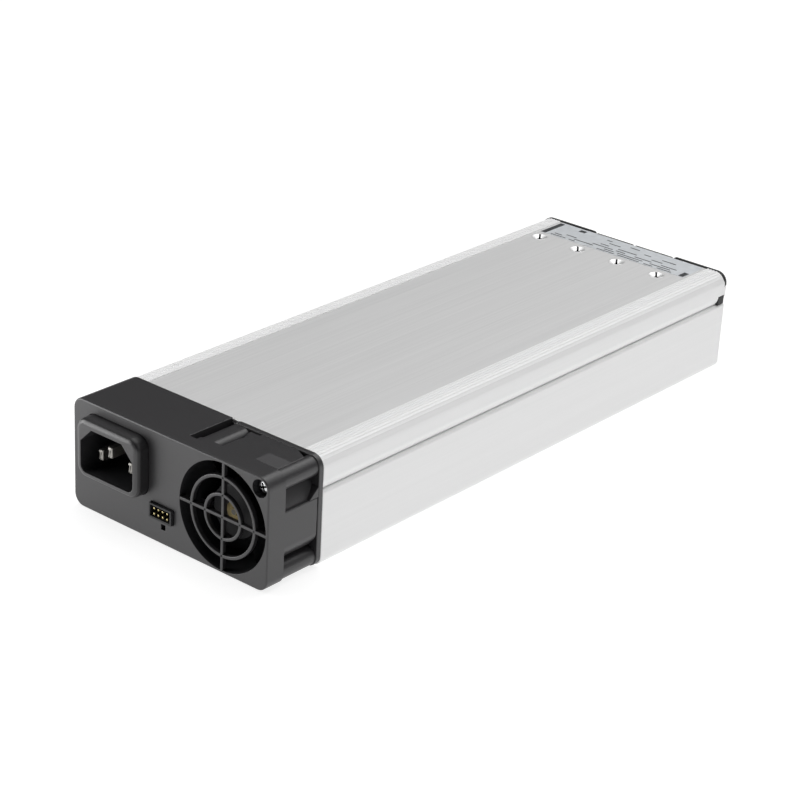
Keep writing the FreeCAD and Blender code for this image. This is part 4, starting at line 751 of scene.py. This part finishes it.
# Rating label
# Metallised foil glued across the panel's rear edge. It carries plain printed dashes and bars only.
# The foil is a cool, slightly crinkled grey, close to the panel; the print is flat dark grey.
label_foil = grained(
    "Metallised foil", ("#d8dbde", "#e2e5e8"), (0.55, 0.65), (2.5, 2.5, 2.5), 0.006, metallic=1.0
)
label_print = grained("Dark grey print", ("#2c2e30", "#46494b"), (0.5, 0.6), (0.5, 0.5, 0.5), 0.002)
label_low, label_high = room("rating_label")
foil_top = label_high.z - 0.02
label = rectangle((label_low.x, label_high.x), (label_low.y, label_high.y), radius=0.8)
label = extruded(bmesh.new(), label, (label_low.z, foil_top), edges=(0, 0.04), axis="Z")
piece(mesh_object("label", label, label_foil), ["rating_label"])
print_span = (label_high.z - 0.03, label_high.z)
dash_thick = 0.6
# Rows by their distance from the front edge; each dash is its place from the left and its length.
dash_rows = {
    0.7: [(4.4, 7.2), (13.2, 3.0), (27.0, 8.4), (37.0, 10.4), (49.6, 4.2), (56.0, 6.6)],
    2.4: [(5.0, 3.6), (14.6, 9.4), (29.4, 4.8), (35.8, 12.2), (51.4, 9.6)],
    4.2: [(9.6, 5.0), (22.6, 9.8), (34.0, 4.4), (43.0, 8.0), (55.6, 7.4)],
    6.3: [(25.0, 4.0), (33.6, 9.0), (49.6, 5.2)],
    9.0: [(27.4, 5.4), (44.4, 3.2), (53.0, 6.4)],
    11.4: [(24.6, 2.6), (36.0, 4.6)],
}
dashes = bmesh.new()
for from_front, row in dash_rows.items():
    near = label_low.y + from_front
    for first, length in row:
        left = label_low.x + first
        dash = rectangle((left, left + length), (near, near + dash_thick), radius=0.05)
        extruded(dashes, dash, print_span, axis="Z")
piece(mesh_object("label_dashes", dashes, label_print), [])
bar_rooms = [
    ((label_low.x, label_low.x + 2.2), (label_low.y + 0.2, label_high.y - 1.0)),
    ((label_low.x + 10.6, label_low.x + 13.6), (label_high.y - 3.4, label_high.y - 1.2)),
    ((label_high.x - 2.4, label_high.x - 0.2), (label_low.y + 0.4, label_low.y + 4.9)),
]
bars = bmesh.new()
for across, along in bar_rooms:
    extruded(bars, rectangle(across, along, radius=0.1), print_span, axis="Z")
piece(mesh_object("label_bars", bars, label_print), [])

# Module screws
# Countersunk steel screws with a dished head and a combined slot and cross, one into each heat plate.
# Their thick zinc plate is whiter and more frosted than that of the other screws.
frosted_zinc = grained(
    "Frosted zinc plate", ("#f3f3f3", "#fafafa"), (0.5, 0.6), (0.5, 0.5, 0.5), 0.002, metallic=1.0
)
# The recesses of these screws get painted shade.
with_painted_recess_shade(frosted_zinc)
dish = 0.95
shank = 1.5
head_profile = [
    (0, cover_screw_low.z), (shank, cover_screw_low.z), (shank, underside), (head_radius, panel_top),
    (3.0, panel_top + 0.06), (2.8, panel_top + 0.02), (1.2, panel_top - 0.8), (0, panel_top - dish),
]
head_slot_width = 0.8
# Length, turn in degrees and depth of the long slot and of the two bars of the cross
head_cuts = [(5.8, 125, 0.9), (2.9, 125, 1.9), (1.8, 35, 1.9)]
head_slots = []
for length, turn, depth in head_cuts:
    head_slots.append((length, head_slot_width, turn, (panel_top - depth, panel_top + CUT_PAST)))
head = driven_screw("module_screw_row", head_profile, first_screw, head_slots, frosted_zinc, "Z")
in_rows(head, 4, (slot_pitch, 0, 0))
piece(head, ["module_screws"])

# Fan frame
# Moulded frame with two square flanges, a round barrel, corner posts and a flush side panel with a window.
# Glass-filled plastic with a fine spark-eroded grain, drawn at 0.5 mm so that it shows.
moulded_black = grained(
    "Moulded black polycarbonate", ("#242325", "#2a292b"), (0.36, 0.46), (0.5, 0.5, 0.5), 0.01, ior=1.66
)
# Walls of the air duct and the deep recesses are smooth from the mould and shine less; they are also painted
# blacker, as painted shade.
painted_shade_black = grained(
    "Smooth black polycarbonate, painted shade", ("#222224", "#28282a"), (0.5, 0.6), (2, 2, 2), 0.003, ior=1.4
)


def paint_shade_on_walls(item, wells, slack=0.05):
    """Gives the walls of round openings along Y the painted-shade black; a well is its middle and radius."""
    item.data.materials.append(painted_shade_black)
    for face in item.data.polygons:
        place = Vector((face.center.x, face.center.z)) / MM
        inside = any((place - Vector(middle)).length < radius + slack for middle, radius in wells)
        if inside and abs(face.normal.y) < 0.5:
            face.material_index = 1


fan_low, fan_high = room("fan_frame")
fan_middle = ((fan_low.x + fan_high.x) / 2, (fan_low.z + fan_high.z) / 2)
front_flange = (fan_low.y, fan_low.y + 2.3)
rear_flange = (fan_high.y - 2.1, fan_high.y)
between = (front_flange[1], rear_flange[0])
flange_corner = 4.2
frame_edge = 0.3
barrel = 19.7
bore = 19.1
aperture = circle(fan_middle, bore, 96)
fan_flange = rectangle((fan_low.x, fan_high.x), (fan_low.z, fan_high.z), flange_corner)
fan = bmesh.new()
extruded(fan, fan_flange, front_flange, holes=[aperture])
extruded(fan, fan_flange, rear_flange, (frame_edge, frame_edge), [aperture])
extruded(fan, circle(fan_middle, barrel, 96), between, holes=[aperture])
post_reach = 16
post_radius = 3.5
for across, up in ((-1, -1), (1, -1), (1, 1), (-1, 1)):
    post_middle = (fan_middle[0] + across * post_reach, fan_middle[1] + up * post_reach)
    extruded(fan, circle(post_middle, post_radius, 40), between)
post_bar = rectangle((5.5, 14.5), (36.5, 39.5), radii=(0, 0, 2.8, 2.8))
extruded(fan, post_bar, between)
panel_out = fan_high.x
side_panel = outline(
    [(panel_out, 26.3, 0.4), (41.5, 26.3), (39.5, 8.5), (41.6, 8.5, 0.6), (panel_out, 12.2, 5.0)]
)
side_panel_gap = 0.6
extruded(fan, side_panel, (between[0], between[1] - side_panel_gap))
window_corner = outline([(between[1] - 4.4, 26.2), (between[1], 26.2), (between[1], 30.0)])
extruded(fan, window_corner, span=(40.5, panel_out), edges=(0, frame_edge), axis="X")
top_panel = outline(
    [
        (16.2, between[0]), (40.3, between[0]), (40.3, -109.2, 0.6), (35.2, between[1]), (19.4, between[1]),
        (19.1, -110.4, 0.5), (16.4, -113.4, 0.5),
    ]
)
extruded(fan, top_panel, span=(36.0, 39.75), edges=(0, frame_edge), axis="Z")
top_step = outline(
    [(16.4, -113.6), (19.6, -110.4), (19.6, between[1]), (14.3, between[1]), (14.3, -107.8, 0.4)]
)
extruded(fan, top_step, span=(36.0, 39.2), edges=(0, 0.6), axis="Z")
fan = mesh_object("fan_housing", fan, moulded_black)
paint_shade_on_walls(fan, [(fan_middle, bore)])
piece(fan, ["fan_frame"])
# A patch on its top comes from a coarser part of the mould, so it is duller and a little paler.
eroded_black = grained(
    "Eroded black polycarbonate", ("#333234", "#3a393b"), (0.5, 0.6), (0.5, 0.5, 0.5), 0.01, ior=1.66
)
patch = rectangle((30.4, 40.0), (-121.6, -115.0), radius=0.5)
patch = extruded(bmesh.new(), patch, span=(39.0, 39.85), edges=(0, 0.1), axis="Z")
piece(mesh_object("fan_patch", patch, eroded_black), [])

# Motor seat of the fan frame
# Four struts carry the motor's seat and its bearing tube inside the same moulding.
# Smooth from the mould like the duct, and painted blacker than the grained outside as painted shade.
seat_span = (-109.8, -107.0)
seat_radius = 9.3
strut_corners = ((8.8, -1), (19.6, -1), (19.6, 1), (8.8, 1))
tube_front = -120.8
tube_radius = 3.2
tube_bore = 2.6
motor_seat = extruded(bmesh.new(), circle(fan_middle, seat_radius), seat_span, (frame_edge, frame_edge))
for turn in (45, 135, 225, 315):
    outward = Vector((math.cos(math.radians(turn)), math.sin(math.radians(turn))))
    beside = Vector((-outward.y, outward.x))
    corners = [outward * reach + beside * half for reach, half in strut_corners]
    extruded(motor_seat, [Vector(fan_middle) + corner for corner in corners], seat_span)
tube_hole = circle(fan_middle, tube_bore, 40)
extruded(motor_seat, circle(fan_middle, tube_radius, 40), (tube_front, seat_span[0]), holes=[tube_hole])
piece(mesh_object("fan_motor_seat", motor_seat, painted_shade_black), [])

# Fan impeller
# Moulded hub cup with seven twisted blades; it turns on the fan's shaft.
# A smooth satin black moulding, painted darker than the frame as painted shade inside the duct.
impeller_shaded_black = grained("Satin black nylon, painted shade", ("#131315", "#1a1a1c"), (0.4, 0.5), (3, 3, 3), 0.004, ior=1.3)
cup_low, cup_high = room("fan_impeller")
blade_count = 7
hub_radius = 9.6
hub_overlap = 0.7
tip_radius = 18.6
blade_root = {"chord": 8.6, "pitch": 48.0, "thick": 1.3}
blade_tip = {"chord": 12.5, "pitch": 32.0, "thick": 0.9}
blade_camber = 0.12
blade_middle = (cup_low.y + cup_high.y) / 2
span_steps = 8
chord_steps = 12


def blade_ring(share):
    """Points round one blade section, wrapped on a cylinder at its radius."""
    radius = hub_radius - hub_overlap + (tip_radius - hub_radius + hub_overlap) * share
    chord, pitch, thick = (
        blade_root[key] + (blade_tip[key] - blade_root[key]) * share for key in ("chord", "pitch", "thick")
    )
    pitch = math.radians(pitch)
    ring = []
    for step in range(2 * chord_steps):
        upper = step < chord_steps
        along = step / chord_steps if upper else 2 - step / chord_steps
        bulge = 4 * along * (1 - along)
        height = blade_camber * chord * bulge + (1 if upper else -1) * thick / 2 * math.sqrt(bulge)
        run = (along - 0.5) * chord
        depth = run * math.sin(pitch) + height * math.cos(pitch)
        turn = (run * math.cos(pitch) - height * math.sin(pitch)) / radius
        ring.append((radius * math.cos(turn), depth, radius * math.sin(turn)))
    return ring


blade = bmesh.new()
rings = [[blade.verts.new(p) for p in blade_ring(step / span_steps)] for step in range(span_steps + 1)]
for near, far in zip(rings, rings[1:]):
    for index in range(len(near)):
        blade.faces.new((near[index - 1], near[index], far[index], far[index - 1]))
blade.faces.new(rings[0])
blade.faces.new(rings[-1])
blades = mesh_object("impeller_blades", blade, impeller_shaded_black)
turn_tree, given = node_tree("Copies round an axis", {"Count": "Int", "Centre": "Vector"})
points = add(turn_tree, "GeometryNodeMeshLine", {"Count": given["Count"], "Offset": (0, 0, 0)})
copy_number = add(turn_tree, "GeometryNodeInputIndex")
share = add(turn_tree, "ShaderNodeMath", {0: copy_number, 1: given["Count"]}, operation="DIVIDE")
angle = add(turn_tree, "ShaderNodeMath", {0: share, 1: 2 * math.pi}, operation="MULTIPLY")
facing = add(turn_tree, "ShaderNodeCombineXYZ", {"Y": angle})
copies = {"Points": points, "Instance": given["Geometry"], "Rotation": facing}
copies = add(turn_tree, "GeometryNodeInstanceOnPoints", copies)
moved = add(turn_tree, "GeometryNodeTransform", {"Geometry": copies, "Translation": given["Centre"]})
end_tree(turn_tree, moved, given["Finish"])
blade_centre = [value * MM for value in (fan_middle[0], blade_middle, fan_middle[1])]
grown(blades, turn_tree, {"Count": blade_count, "Centre": blade_centre, "Finish": impeller_shaded_black})
piece(blades, [], "fan_rotor")
cup_inner = 8.6
cup_face = cup_low.y + 1.4
insert_hole = 3.4
cup_profile = [
    (insert_hole, cup_low.y), (hub_radius - 0.9, cup_low.y), (hub_radius - 0.25, cup_low.y + 0.3),
    (hub_radius, cup_low.y + 1.0), (hub_radius, cup_high.y), (cup_inner, cup_high.y), (cup_inner, cup_face),
    (insert_hole, cup_face), (insert_hole, cup_low.y),
]
cup = turned(bmesh.new(), cup_profile, fan_middle)
piece(mesh_object("impeller_hub", cup, impeller_shaded_black), ["fan_impeller"], "fan_rotor")

# Hub insert, shaft and bearings
# A turned brass bush moulded into the hub grips the ground steel shaft.
# Turning lines show on the brass; grinding leaves the steel grey and finely streaked.
turned_brass = grained("Turned brass", ("#7b6e4c", "#948763"), (0.4, 0.5), (0.4, 2, 0.4), 0.004, metallic=1.0)
insert_low, insert_high = room("fan_hub_insert")
shaft_radius = 1.0
insert_profile = [
    (shaft_radius, insert_low.y), (1.3, insert_low.y), (1.45, insert_low.y + 0.3),
    (insert_hole - 0.2, insert_low.y + 0.3), (insert_hole, insert_low.y + 0.45), (insert_hole, insert_high.y),
    (shaft_radius, insert_high.y), (shaft_radius, insert_low.y),
]
insert = turned(bmesh.new(), insert_profile, fan_middle)
piece(mesh_object("hub_bush", insert, turned_brass), ["fan_hub_insert"], "fan_rotor")
ground_steel = grained(
    "Ground steel", ("#54524e", "#66645f"), (0.3, 0.42), (0.3, 3, 0.3), 0.002, metallic=1.0
)
dress(ground_steel, "fan_shaft", "fan_bearings")

# Front bezel
# One moulding: front plate with openings, a closed box on the left and a rim that the fan sits behind.
# Same black plastic and grain as the fan frame; its front edge is rounded.
bezel_low, bezel_high = room("front_bezel")
bezel_front = -130.0
plate_back = -127.5
rim_back = fan_low.y
box_back = cover_front
box_right = 4.2
box_wall = 2
partition = 1
box_corner = 0.2
inside_round = 2.2
bezel_corner = 4.2
front_edge = 0.55
boss_corner = 4.5
inlet_low, inlet_high = room("inlet_housing")
inlet_flange = 1.5
boss_across = (inlet_low.x + inlet_flange, inlet_high.x - inlet_flange)
boss_up = (inlet_low.z + inlet_flange, inlet_high.z - inlet_flange)
header_low, header_high = room("signal_header")
fit = 0.15
screw_corner = (fan_middle[0] + post_reach, fan_middle[1] + post_reach)
screw_recess = 3.1
screw_hole = 1.7
bezel_outline = rectangle((bezel_low.x, bezel_high.x), (bezel_low.z, bezel_high.z), bezel_corner)
box_hole_radii = (inside_round, 0, 0, inside_round)
box_hole_across = (bezel_low.x + box_wall, box_right - partition)
box_hole = rectangle(box_hole_across, (box_wall, bezel_high.z - box_wall), radii=box_hole_radii)
boss_hole = [(span[0] - fit, span[1] + fit) for span in (boss_across, boss_up)]
header_hole = [(header_low.x - fit, header_high.x + fit), (header_low.z - fit, header_high.z + fit)]
light_hole = rectangle((-2.95, -0.95), (5.4, 7.4), radius=0.2)
screw_well = circle(screw_corner, screw_recess, 40)
plate_holes = [
    aperture, rectangle(*boss_hole, boss_corner), rectangle(*header_hole, radius=0.1), light_hole, screw_well,
]
front_plate = (bezel_front, plate_back)
bezel = extruded(
    bmesh.new(), bezel_outline, front_plate, edges=(front_edge, 0), holes=plate_holes, mouths=(0.08, 0)
)
recess_floor = bezel_front + 4.0
extruded(bezel, bezel_outline, (plate_back, recess_floor), holes=[aperture, box_hole, screw_well])
through_hole = circle(screw_corner, screw_hole, 32)
extruded(bezel, bezel_outline, (recess_floor, rim_back), holes=[aperture, box_hole, through_hole])
box_radii = (bezel_corner, box_corner, box_corner, bezel_corner)
box_outline = rectangle((bezel_low.x, box_right), (bezel_low.z, bezel_high.z), radii=box_radii)
extruded(bezel, box_outline, (rim_back, box_back), (0, box_corner), [box_hole])
tab_half = 6
tab_top = 4.2
tab_edge = 0.3
tab_span = (box_back - 3, bezel_high.y)
for x in tab_places:
    tab = rectangle(about(x, tab_half), (tray_floor, tab_top), tab_edge)
    extruded(bezel, tab, tab_span, (0, tab_edge))
bezel = mesh_object("bezel", bezel, moulded_black)
paint_shade_on_walls(bezel, [(fan_middle, bore), (screw_corner, screw_recess)])
piece(bezel, ["front_bezel"])

# Fan grille
# Two rings and two crossed bars moulded in one with the bezel's front plate.
grille_tree, given = node_tree(
    "Fan grille",
    {
        "Rings": "Int", "First radius": "Float", "Ring step": "Float", "Spokes": "Int", "Reach": "Vector",
        "Bar width": "Float", "Bar depth": "Float", "Edge": "Float", "Centre": "Vector",
    },
)
copy_number = add(grille_tree, "GeometryNodeInputIndex")
ring_points = add(grille_tree, "GeometryNodeMeshLine", {"Count": given["Rings"], "Offset": (0, 0, 0)})
ring_radius = {0: copy_number, 1: given["Ring step"], 2: given["First radius"]}
ring_radius = add(grille_tree, "ShaderNodeMath", ring_radius, operation="MULTIPLY_ADD")
unit_ring = add(grille_tree, "GeometryNodeCurvePrimitiveCircle", {"Resolution": 96, "Radius": 1.0})
ring_copies = {"Points": ring_points, "Instance": unit_ring, "Scale": ring_radius}
ring_copies = add(grille_tree, "GeometryNodeInstanceOnPoints", ring_copies)
spoke_points = add(grille_tree, "GeometryNodeMeshLine", {"Count": given["Spokes"], "Offset": (0, 0, 0)})
part_turn = add(grille_tree, "ShaderNodeMath", {0: math.pi, 1: given["Spokes"]}, operation="DIVIDE")
swing = add(grille_tree, "ShaderNodeMath", {0: copy_number, 1: part_turn}, operation="MULTIPLY")
spoke_turn = add(grille_tree, "ShaderNodeCombineXYZ", {"Z": swing})
back_reach = add(grille_tree, "ShaderNodeVectorMath", {0: given["Reach"], "Scale": -1.0}, operation="SCALE")
spoke = add(grille_tree, "GeometryNodeCurvePrimitiveLine", {"Start": back_reach, "End": given["Reach"]})
spokes = {"Points": spoke_points, "Instance": spoke, "Rotation": spoke_turn}
spokes = add(grille_tree, "GeometryNodeInstanceOnPoints", spokes)
paths = add(grille_tree, "GeometryNodeJoinGeometry")
for source in (ring_copies, spokes):
    feed(grille_tree, paths, {"Geometry": source})
paths = add(grille_tree, "GeometryNodeRealizeInstances", {"Geometry": paths})
section = {"Width": given["Bar width"], "Height": given["Bar depth"]}
section = add(grille_tree, "GeometryNodeCurvePrimitiveQuadrilateral", section)
softened = {"Curve": section, "Radius": given["Edge"], "Count": 3}
softened = add(grille_tree, "GeometryNodeFilletCurve", softened, mode="POLY")
swept = {"Curve": paths, "Profile Curve": softened, "Fill Caps": True}
swept = add(grille_tree, "GeometryNodeCurveToMesh", swept)
placed = {"Geometry": swept, "Translation": given["Centre"], "Rotation": (math.pi / 2, 0, 0)}
placed = add(grille_tree, "GeometryNodeTransform", placed)
end_tree(grille_tree, placed, given["Finish"])
first_ring = 7.725
ring_step = 6.2
bar_width = 1.15
bar_depth = 1.8
bar_edge = 0.3
bar_overlap = 0.4
bar_set_back = 0.05
grille_centre = (fan_middle[0], bezel_front + bar_depth / 2 + bar_set_back, fan_middle[1])
grille_values = {
    "Rings": 2, "First radius": first_ring * MM, "Ring step": ring_step * MM, "Spokes": 2,
    "Reach": [(bore + bar_overlap) * MM, 0, 0], "Bar width": bar_width * MM, "Bar depth": bar_depth * MM,
    "Edge": bar_edge * MM, "Finish": moulded_black, "Centre": [v * MM for v in grille_centre],
}
grille = mesh_object("fan_grille", bmesh.new(), moulded_black)
grown(grille, grille_tree, grille_values)
piece(grille, [])

# Fan screw
# Zinc-plated cross-head screw at the bottom of the bezel's corner recess; it goes down the fan's post.
screw_face = recess_floor - 2.4
screw_end = recess_floor + 14
fan_head = 2.8
fan_thread = 1.6
fan_screw_profile = [
    (0, screw_face), (1.2, screw_face + 0.08), (2.2, screw_face + 0.45), (fan_head, screw_face + 1.1),
    (fan_head, recess_floor), (fan_thread, recess_floor), (fan_thread, screw_end), (0, screw_end),
]
fan_cross_span = (screw_face - CUT_PAST, screw_face + 1.1)
fan_cross = [(2.8, 0.7, turn, fan_cross_span) for turn in (20, 110)]
fan_screw = driven_screw("fan_fixing_screw", fan_screw_profile, screw_corner, fan_cross, zinc_steel)
piece(fan_screw, ["fan_screw"])

# Mains inlet
# Moulded three-pole appliance inlet clipped into the bezel: a rounded boss with a deep cavity for a plug.
# Smoother than the bezel; its sides and top are painted darker than the bezel as painted shade, and so is its
# cavity, while its front face has the bezel's finish.
inlet_shaded_black = grained(
    "Moulded black polyamide, painted shade", ("#1a191b", "#1f1e20"), (0.42, 0.5), (1.5, 1.5, 1.5), 0.001
)
cavity_drop = 0.5
cavity_middle = ((boss_across[0] + boss_across[1]) / 2, (boss_up[0] + boss_up[1]) / 2 - cavity_drop)
cavity_half = (12.3, 8.15)
cavity_floor = inlet_low.y + 17.0
cavity_left, cavity_right = about(cavity_middle[0], cavity_half[0])
cavity_bottom, cavity_top = about(cavity_middle[1], cavity_half[1])
# The upper corners are cut off, so that the plug goes in one way round.
cavity_cut = 5.2
cut_height = cavity_top - cavity_cut
cut_round = 0.6
cavity_round = 2.6
cavity = outline(
    [
        (cavity_left, cavity_bottom, cavity_round), (cavity_right, cavity_bottom, cavity_round),
        (cavity_right, cut_height, cut_round), (cavity_right - cavity_cut, cavity_top, cut_round),
        (cavity_left + cavity_cut, cavity_top, cut_round), (cavity_left, cut_height, cut_round),
    ]
)
inlet_edge = 0.3
flange_thick = 2
boss = rectangle(boss_across, boss_up, boss_corner)
inlet = extruded(
    bmesh.new(), boss, (inlet_low.y, cavity_floor), edges=(1.9, 0), holes=[cavity], mouths=(0.15, 0)
)
extruded(inlet, boss, (cavity_floor, inlet_high.y), (0, inlet_edge))
flange = rectangle((inlet_low.x, inlet_high.x), (inlet_low.z, inlet_high.z), boss_corner)
extruded(inlet, flange, (plate_back, plate_back + flange_thick), (0, inlet_edge), [boss])
inlet = mesh_object("inlet", inlet, inlet_shaded_black)
inlet.data.materials.append(painted_shade_black)
inlet.data.materials.append(moulded_black)
# Cavity faces take the painted-shade black and front faces the bezel's lighter finish; sides and top keep the
# darker black as painted shade.
for face in inlet.data.polygons:
    x, y, z = face.center / MM
    across = abs(x - cavity_middle[0])
    up = abs(z - cavity_middle[1])
    within = across < cavity_half[0] + fit and up < cavity_half[1] + fit
    if within and y > inlet_low.y + 0.2:
        face.material_index = 1
    elif face.normal.y < -0.7 and y < plate_back:
        face.material_index = 2
piece(inlet, ["inlet_housing"])

# Inlet blades
# Three nickel-plated brass blades with chamfered tips; the middle one is earth and stands higher and longer.
nickel = grained(
    "Nickel plated brass", ("#96948f", "#aeaba6"), (0.35, 0.45), (0.5, 4, 0.5), 0.003, metallic=1.0
)
contact_low, contact_high = room("inlet_blades")
contact_half = (1, 2)
tip_edge = 0.85
leg_half = 0.9
leg_edge = 0.2
leg_span = (contact_high.y - 1.5, contact_high.y - 0.05)
# Each blade's place across and up from the cavity's middle, and how far its tip stands back
contact_places = [(-7, -2, 2.5), (0, 2, 0), (7, -2, 2.5)]
contacts = bmesh.new()
for across, up, set_back in contact_places:
    x = cavity_middle[0] + across
    z = cavity_middle[1] + up
    contact = rectangle(about(x, contact_half[0]), about(z, contact_half[1]), radius=0.35)
    extruded(contacts, contact, (contact_low.y + set_back, contact_high.y), (tip_edge, leg_edge))
    leg = rectangle(about(x, leg_half), (contact_low.z, z), leg_edge)
    extruded(contacts, leg, leg_span, (leg_edge, leg_edge))
piece(mesh_object("inlet_contacts", contacts, nickel), ["inlet_blades"])

# Signal header and status light
# Moulded shroud on the main board's front edge with two rows of gold-plated pins.
# The light sits below it on the same board, in tinted epoxy, which is clear and glossy.
shroud_wall = 0.7
shroud_floor = header_high.y - 2.0
shroud_edge = 0.15
shroud = rectangle((header_low.x, header_high.x), (header_low.z, header_high.z), radius=0.25)
well = rectangle(
    (header_low.x + shroud_wall, header_high.x - shroud_wall),
    (header_low.z + shroud_wall, header_high.z - shroud_wall),
    shroud_edge,
)
shroud_span = (header_low.y, shroud_floor)
header = extruded(bmesh.new(), shroud, shroud_span, (shroud_edge, 0), holes=[well], mouths=(0.1, 0))
extruded(header, shroud, (shroud_floor, header_high.y), (0, shroud_edge))
piece(mesh_object("header_shroud", header, black_nylon), ["signal_header"])
gold_plate = grained(
    "Gold plated bronze", ("#c2b27c", "#dccf9f"), (0.25, 0.4), (0.5, 0.5, 0.5), 0.002, metallic=1.0
)
pin_low, pin_high = room("signal_pins")
pin_pitch = 2.0
pin_half = 0.32
header_middle = ((header_low.x + header_high.x) / 2, (header_low.z + header_high.z) / 2)
first_pin = (header_middle[0] - 1.5 * pin_pitch, header_middle[1] - 0.5 * pin_pitch)
pin = rectangle(about(first_pin[0], pin_half), about(first_pin[1], pin_half), radius=0.08)
pins = extruded(bmesh.new(), pin, (pin_low.y, pin_high.y), edges=(0.18, 0))
pins = mesh_object("header_pins", pins, gold_plate)
in_rows(pins, 4, (pin_pitch, 0, 0), 2, (0, 0, pin_pitch))
piece(pins, ["signal_pins"])
light_lens = grained("Tinted epoxy lens", ("#10200f", "#1a3018"), (0.08, 0.15), (3, 3, 3), 0.002)
dress(light_lens, "status_light")

# Floor
# Plain pale paper under the case. It glows like a lit sweep, so that it reads as white and lights from below.
# It is wide and round with a low rim, so that a low view ends in paper too. Sizes here are in metres.
floor_radius = 8.0
rim_height = 0.5
floor_gap = 0.0002
paper_glow = 0.8
floor_shell = bmesh.new()
bmesh.ops.create_circle(floor_shell, cap_ends=True, segments=96, radius=floor_radius / MM)
border = [edge for edge in floor_shell.edges if edge.is_boundary]
rim = bmesh.ops.extrude_edge_only(floor_shell, edges=border)
rim_points = [point for point in rim["geom"] if isinstance(point, bmesh.types.BMVert)]
bmesh.ops.translate(floor_shell, verts=rim_points, vec=(0, 0, rim_height / MM))
pale_paper = grained("Pale paper", ("#9e9e9e", "#a2a2a2"), (0.8, 0.9), (40, 40, 40), 0.0)
paper_shader = pale_paper.node_tree.nodes["Principled BSDF"]
glow = {"Emission Color": linear("#ffffff"), "Emission Strength": paper_glow}
feed(pale_paper.node_tree, paper_shader, glow)
floor = mesh_object("floor", floor_shell, pale_paper)
floor.location.z = -floor_gap

# Lights
# Soft studio light: one wide round light hangs over the case and one stands behind it.
# A small one is low on the left and one is on the right. The room itself is almost dark.
ambient_light = 0.02
world = bpy.data.worlds.new("Studio")
world.use_nodes = True
bpy.context.scene.world = world
backdrop = {"Color": linear("#ffffff"), "Strength": ambient_light}
feed(world.node_tree, world.node_tree.nodes["Background"], backdrop)


def soft_light(name, place, target, size, power):
    """Adds a round light of some size in metres and power in watts, aimed at a target."""
    lamp = bpy.data.lights.new(name, "AREA")
    lamp.shape = "DISK"
    lamp.size = size
    lamp.energy = power
    holder = bpy.data.objects.new(name, lamp)
    holder.location = place
    holder.rotation_euler = (Vector(place) - Vector(target)).to_track_quat("Z", "Y").to_euler()
    bpy.context.scene.collection.objects.link(holder)


soft_light("left_low", (-0.20, -0.26, 0.06), (-0.02, -0.13, 0.02), 0.2, 0.45)
soft_light("right_side", (1.5, 0.2, 1.0), (0, 0, 0.02), 1.0, 4.8)
soft_light("overhead", (-0.2, 0.3, 1.9), (0, 0, 0), 2.2, 25.0)
soft_light("back", (0.15, 1.4, 1.4), (0, 0, 0), 2.0, 11.5)

# Camera
# It stands where the photograph was taken from, in front on the right and above, slightly rolled.
azimuth = math.radians(39.032)
elevation = math.radians(24.409)
roll = math.radians(3.093)
eye = Vector((473.9, -597.8, 357.6)) * MM
lens = 103.14
sensor = 36.0
camera_data = bpy.data.cameras.new("camera")
camera_data.lens = lens
camera_data.sensor_width = sensor
camera_data.clip_start = 0.01
camera = bpy.data.objects.new("camera", camera_data)
aim = Matrix.Rotation(azimuth, 4, "Z") @ Matrix.Rotation(math.pi / 2 - elevation, 4, "X")
camera.matrix_world = Matrix.Translation(eye) @ aim @ Matrix.Rotation(roll, 4, "Z")
bpy.context.scene.collection.objects.link(camera)
bpy.context.scene.camera = camera
bpy.context.scene.view_settings.view_transform = "Standard"
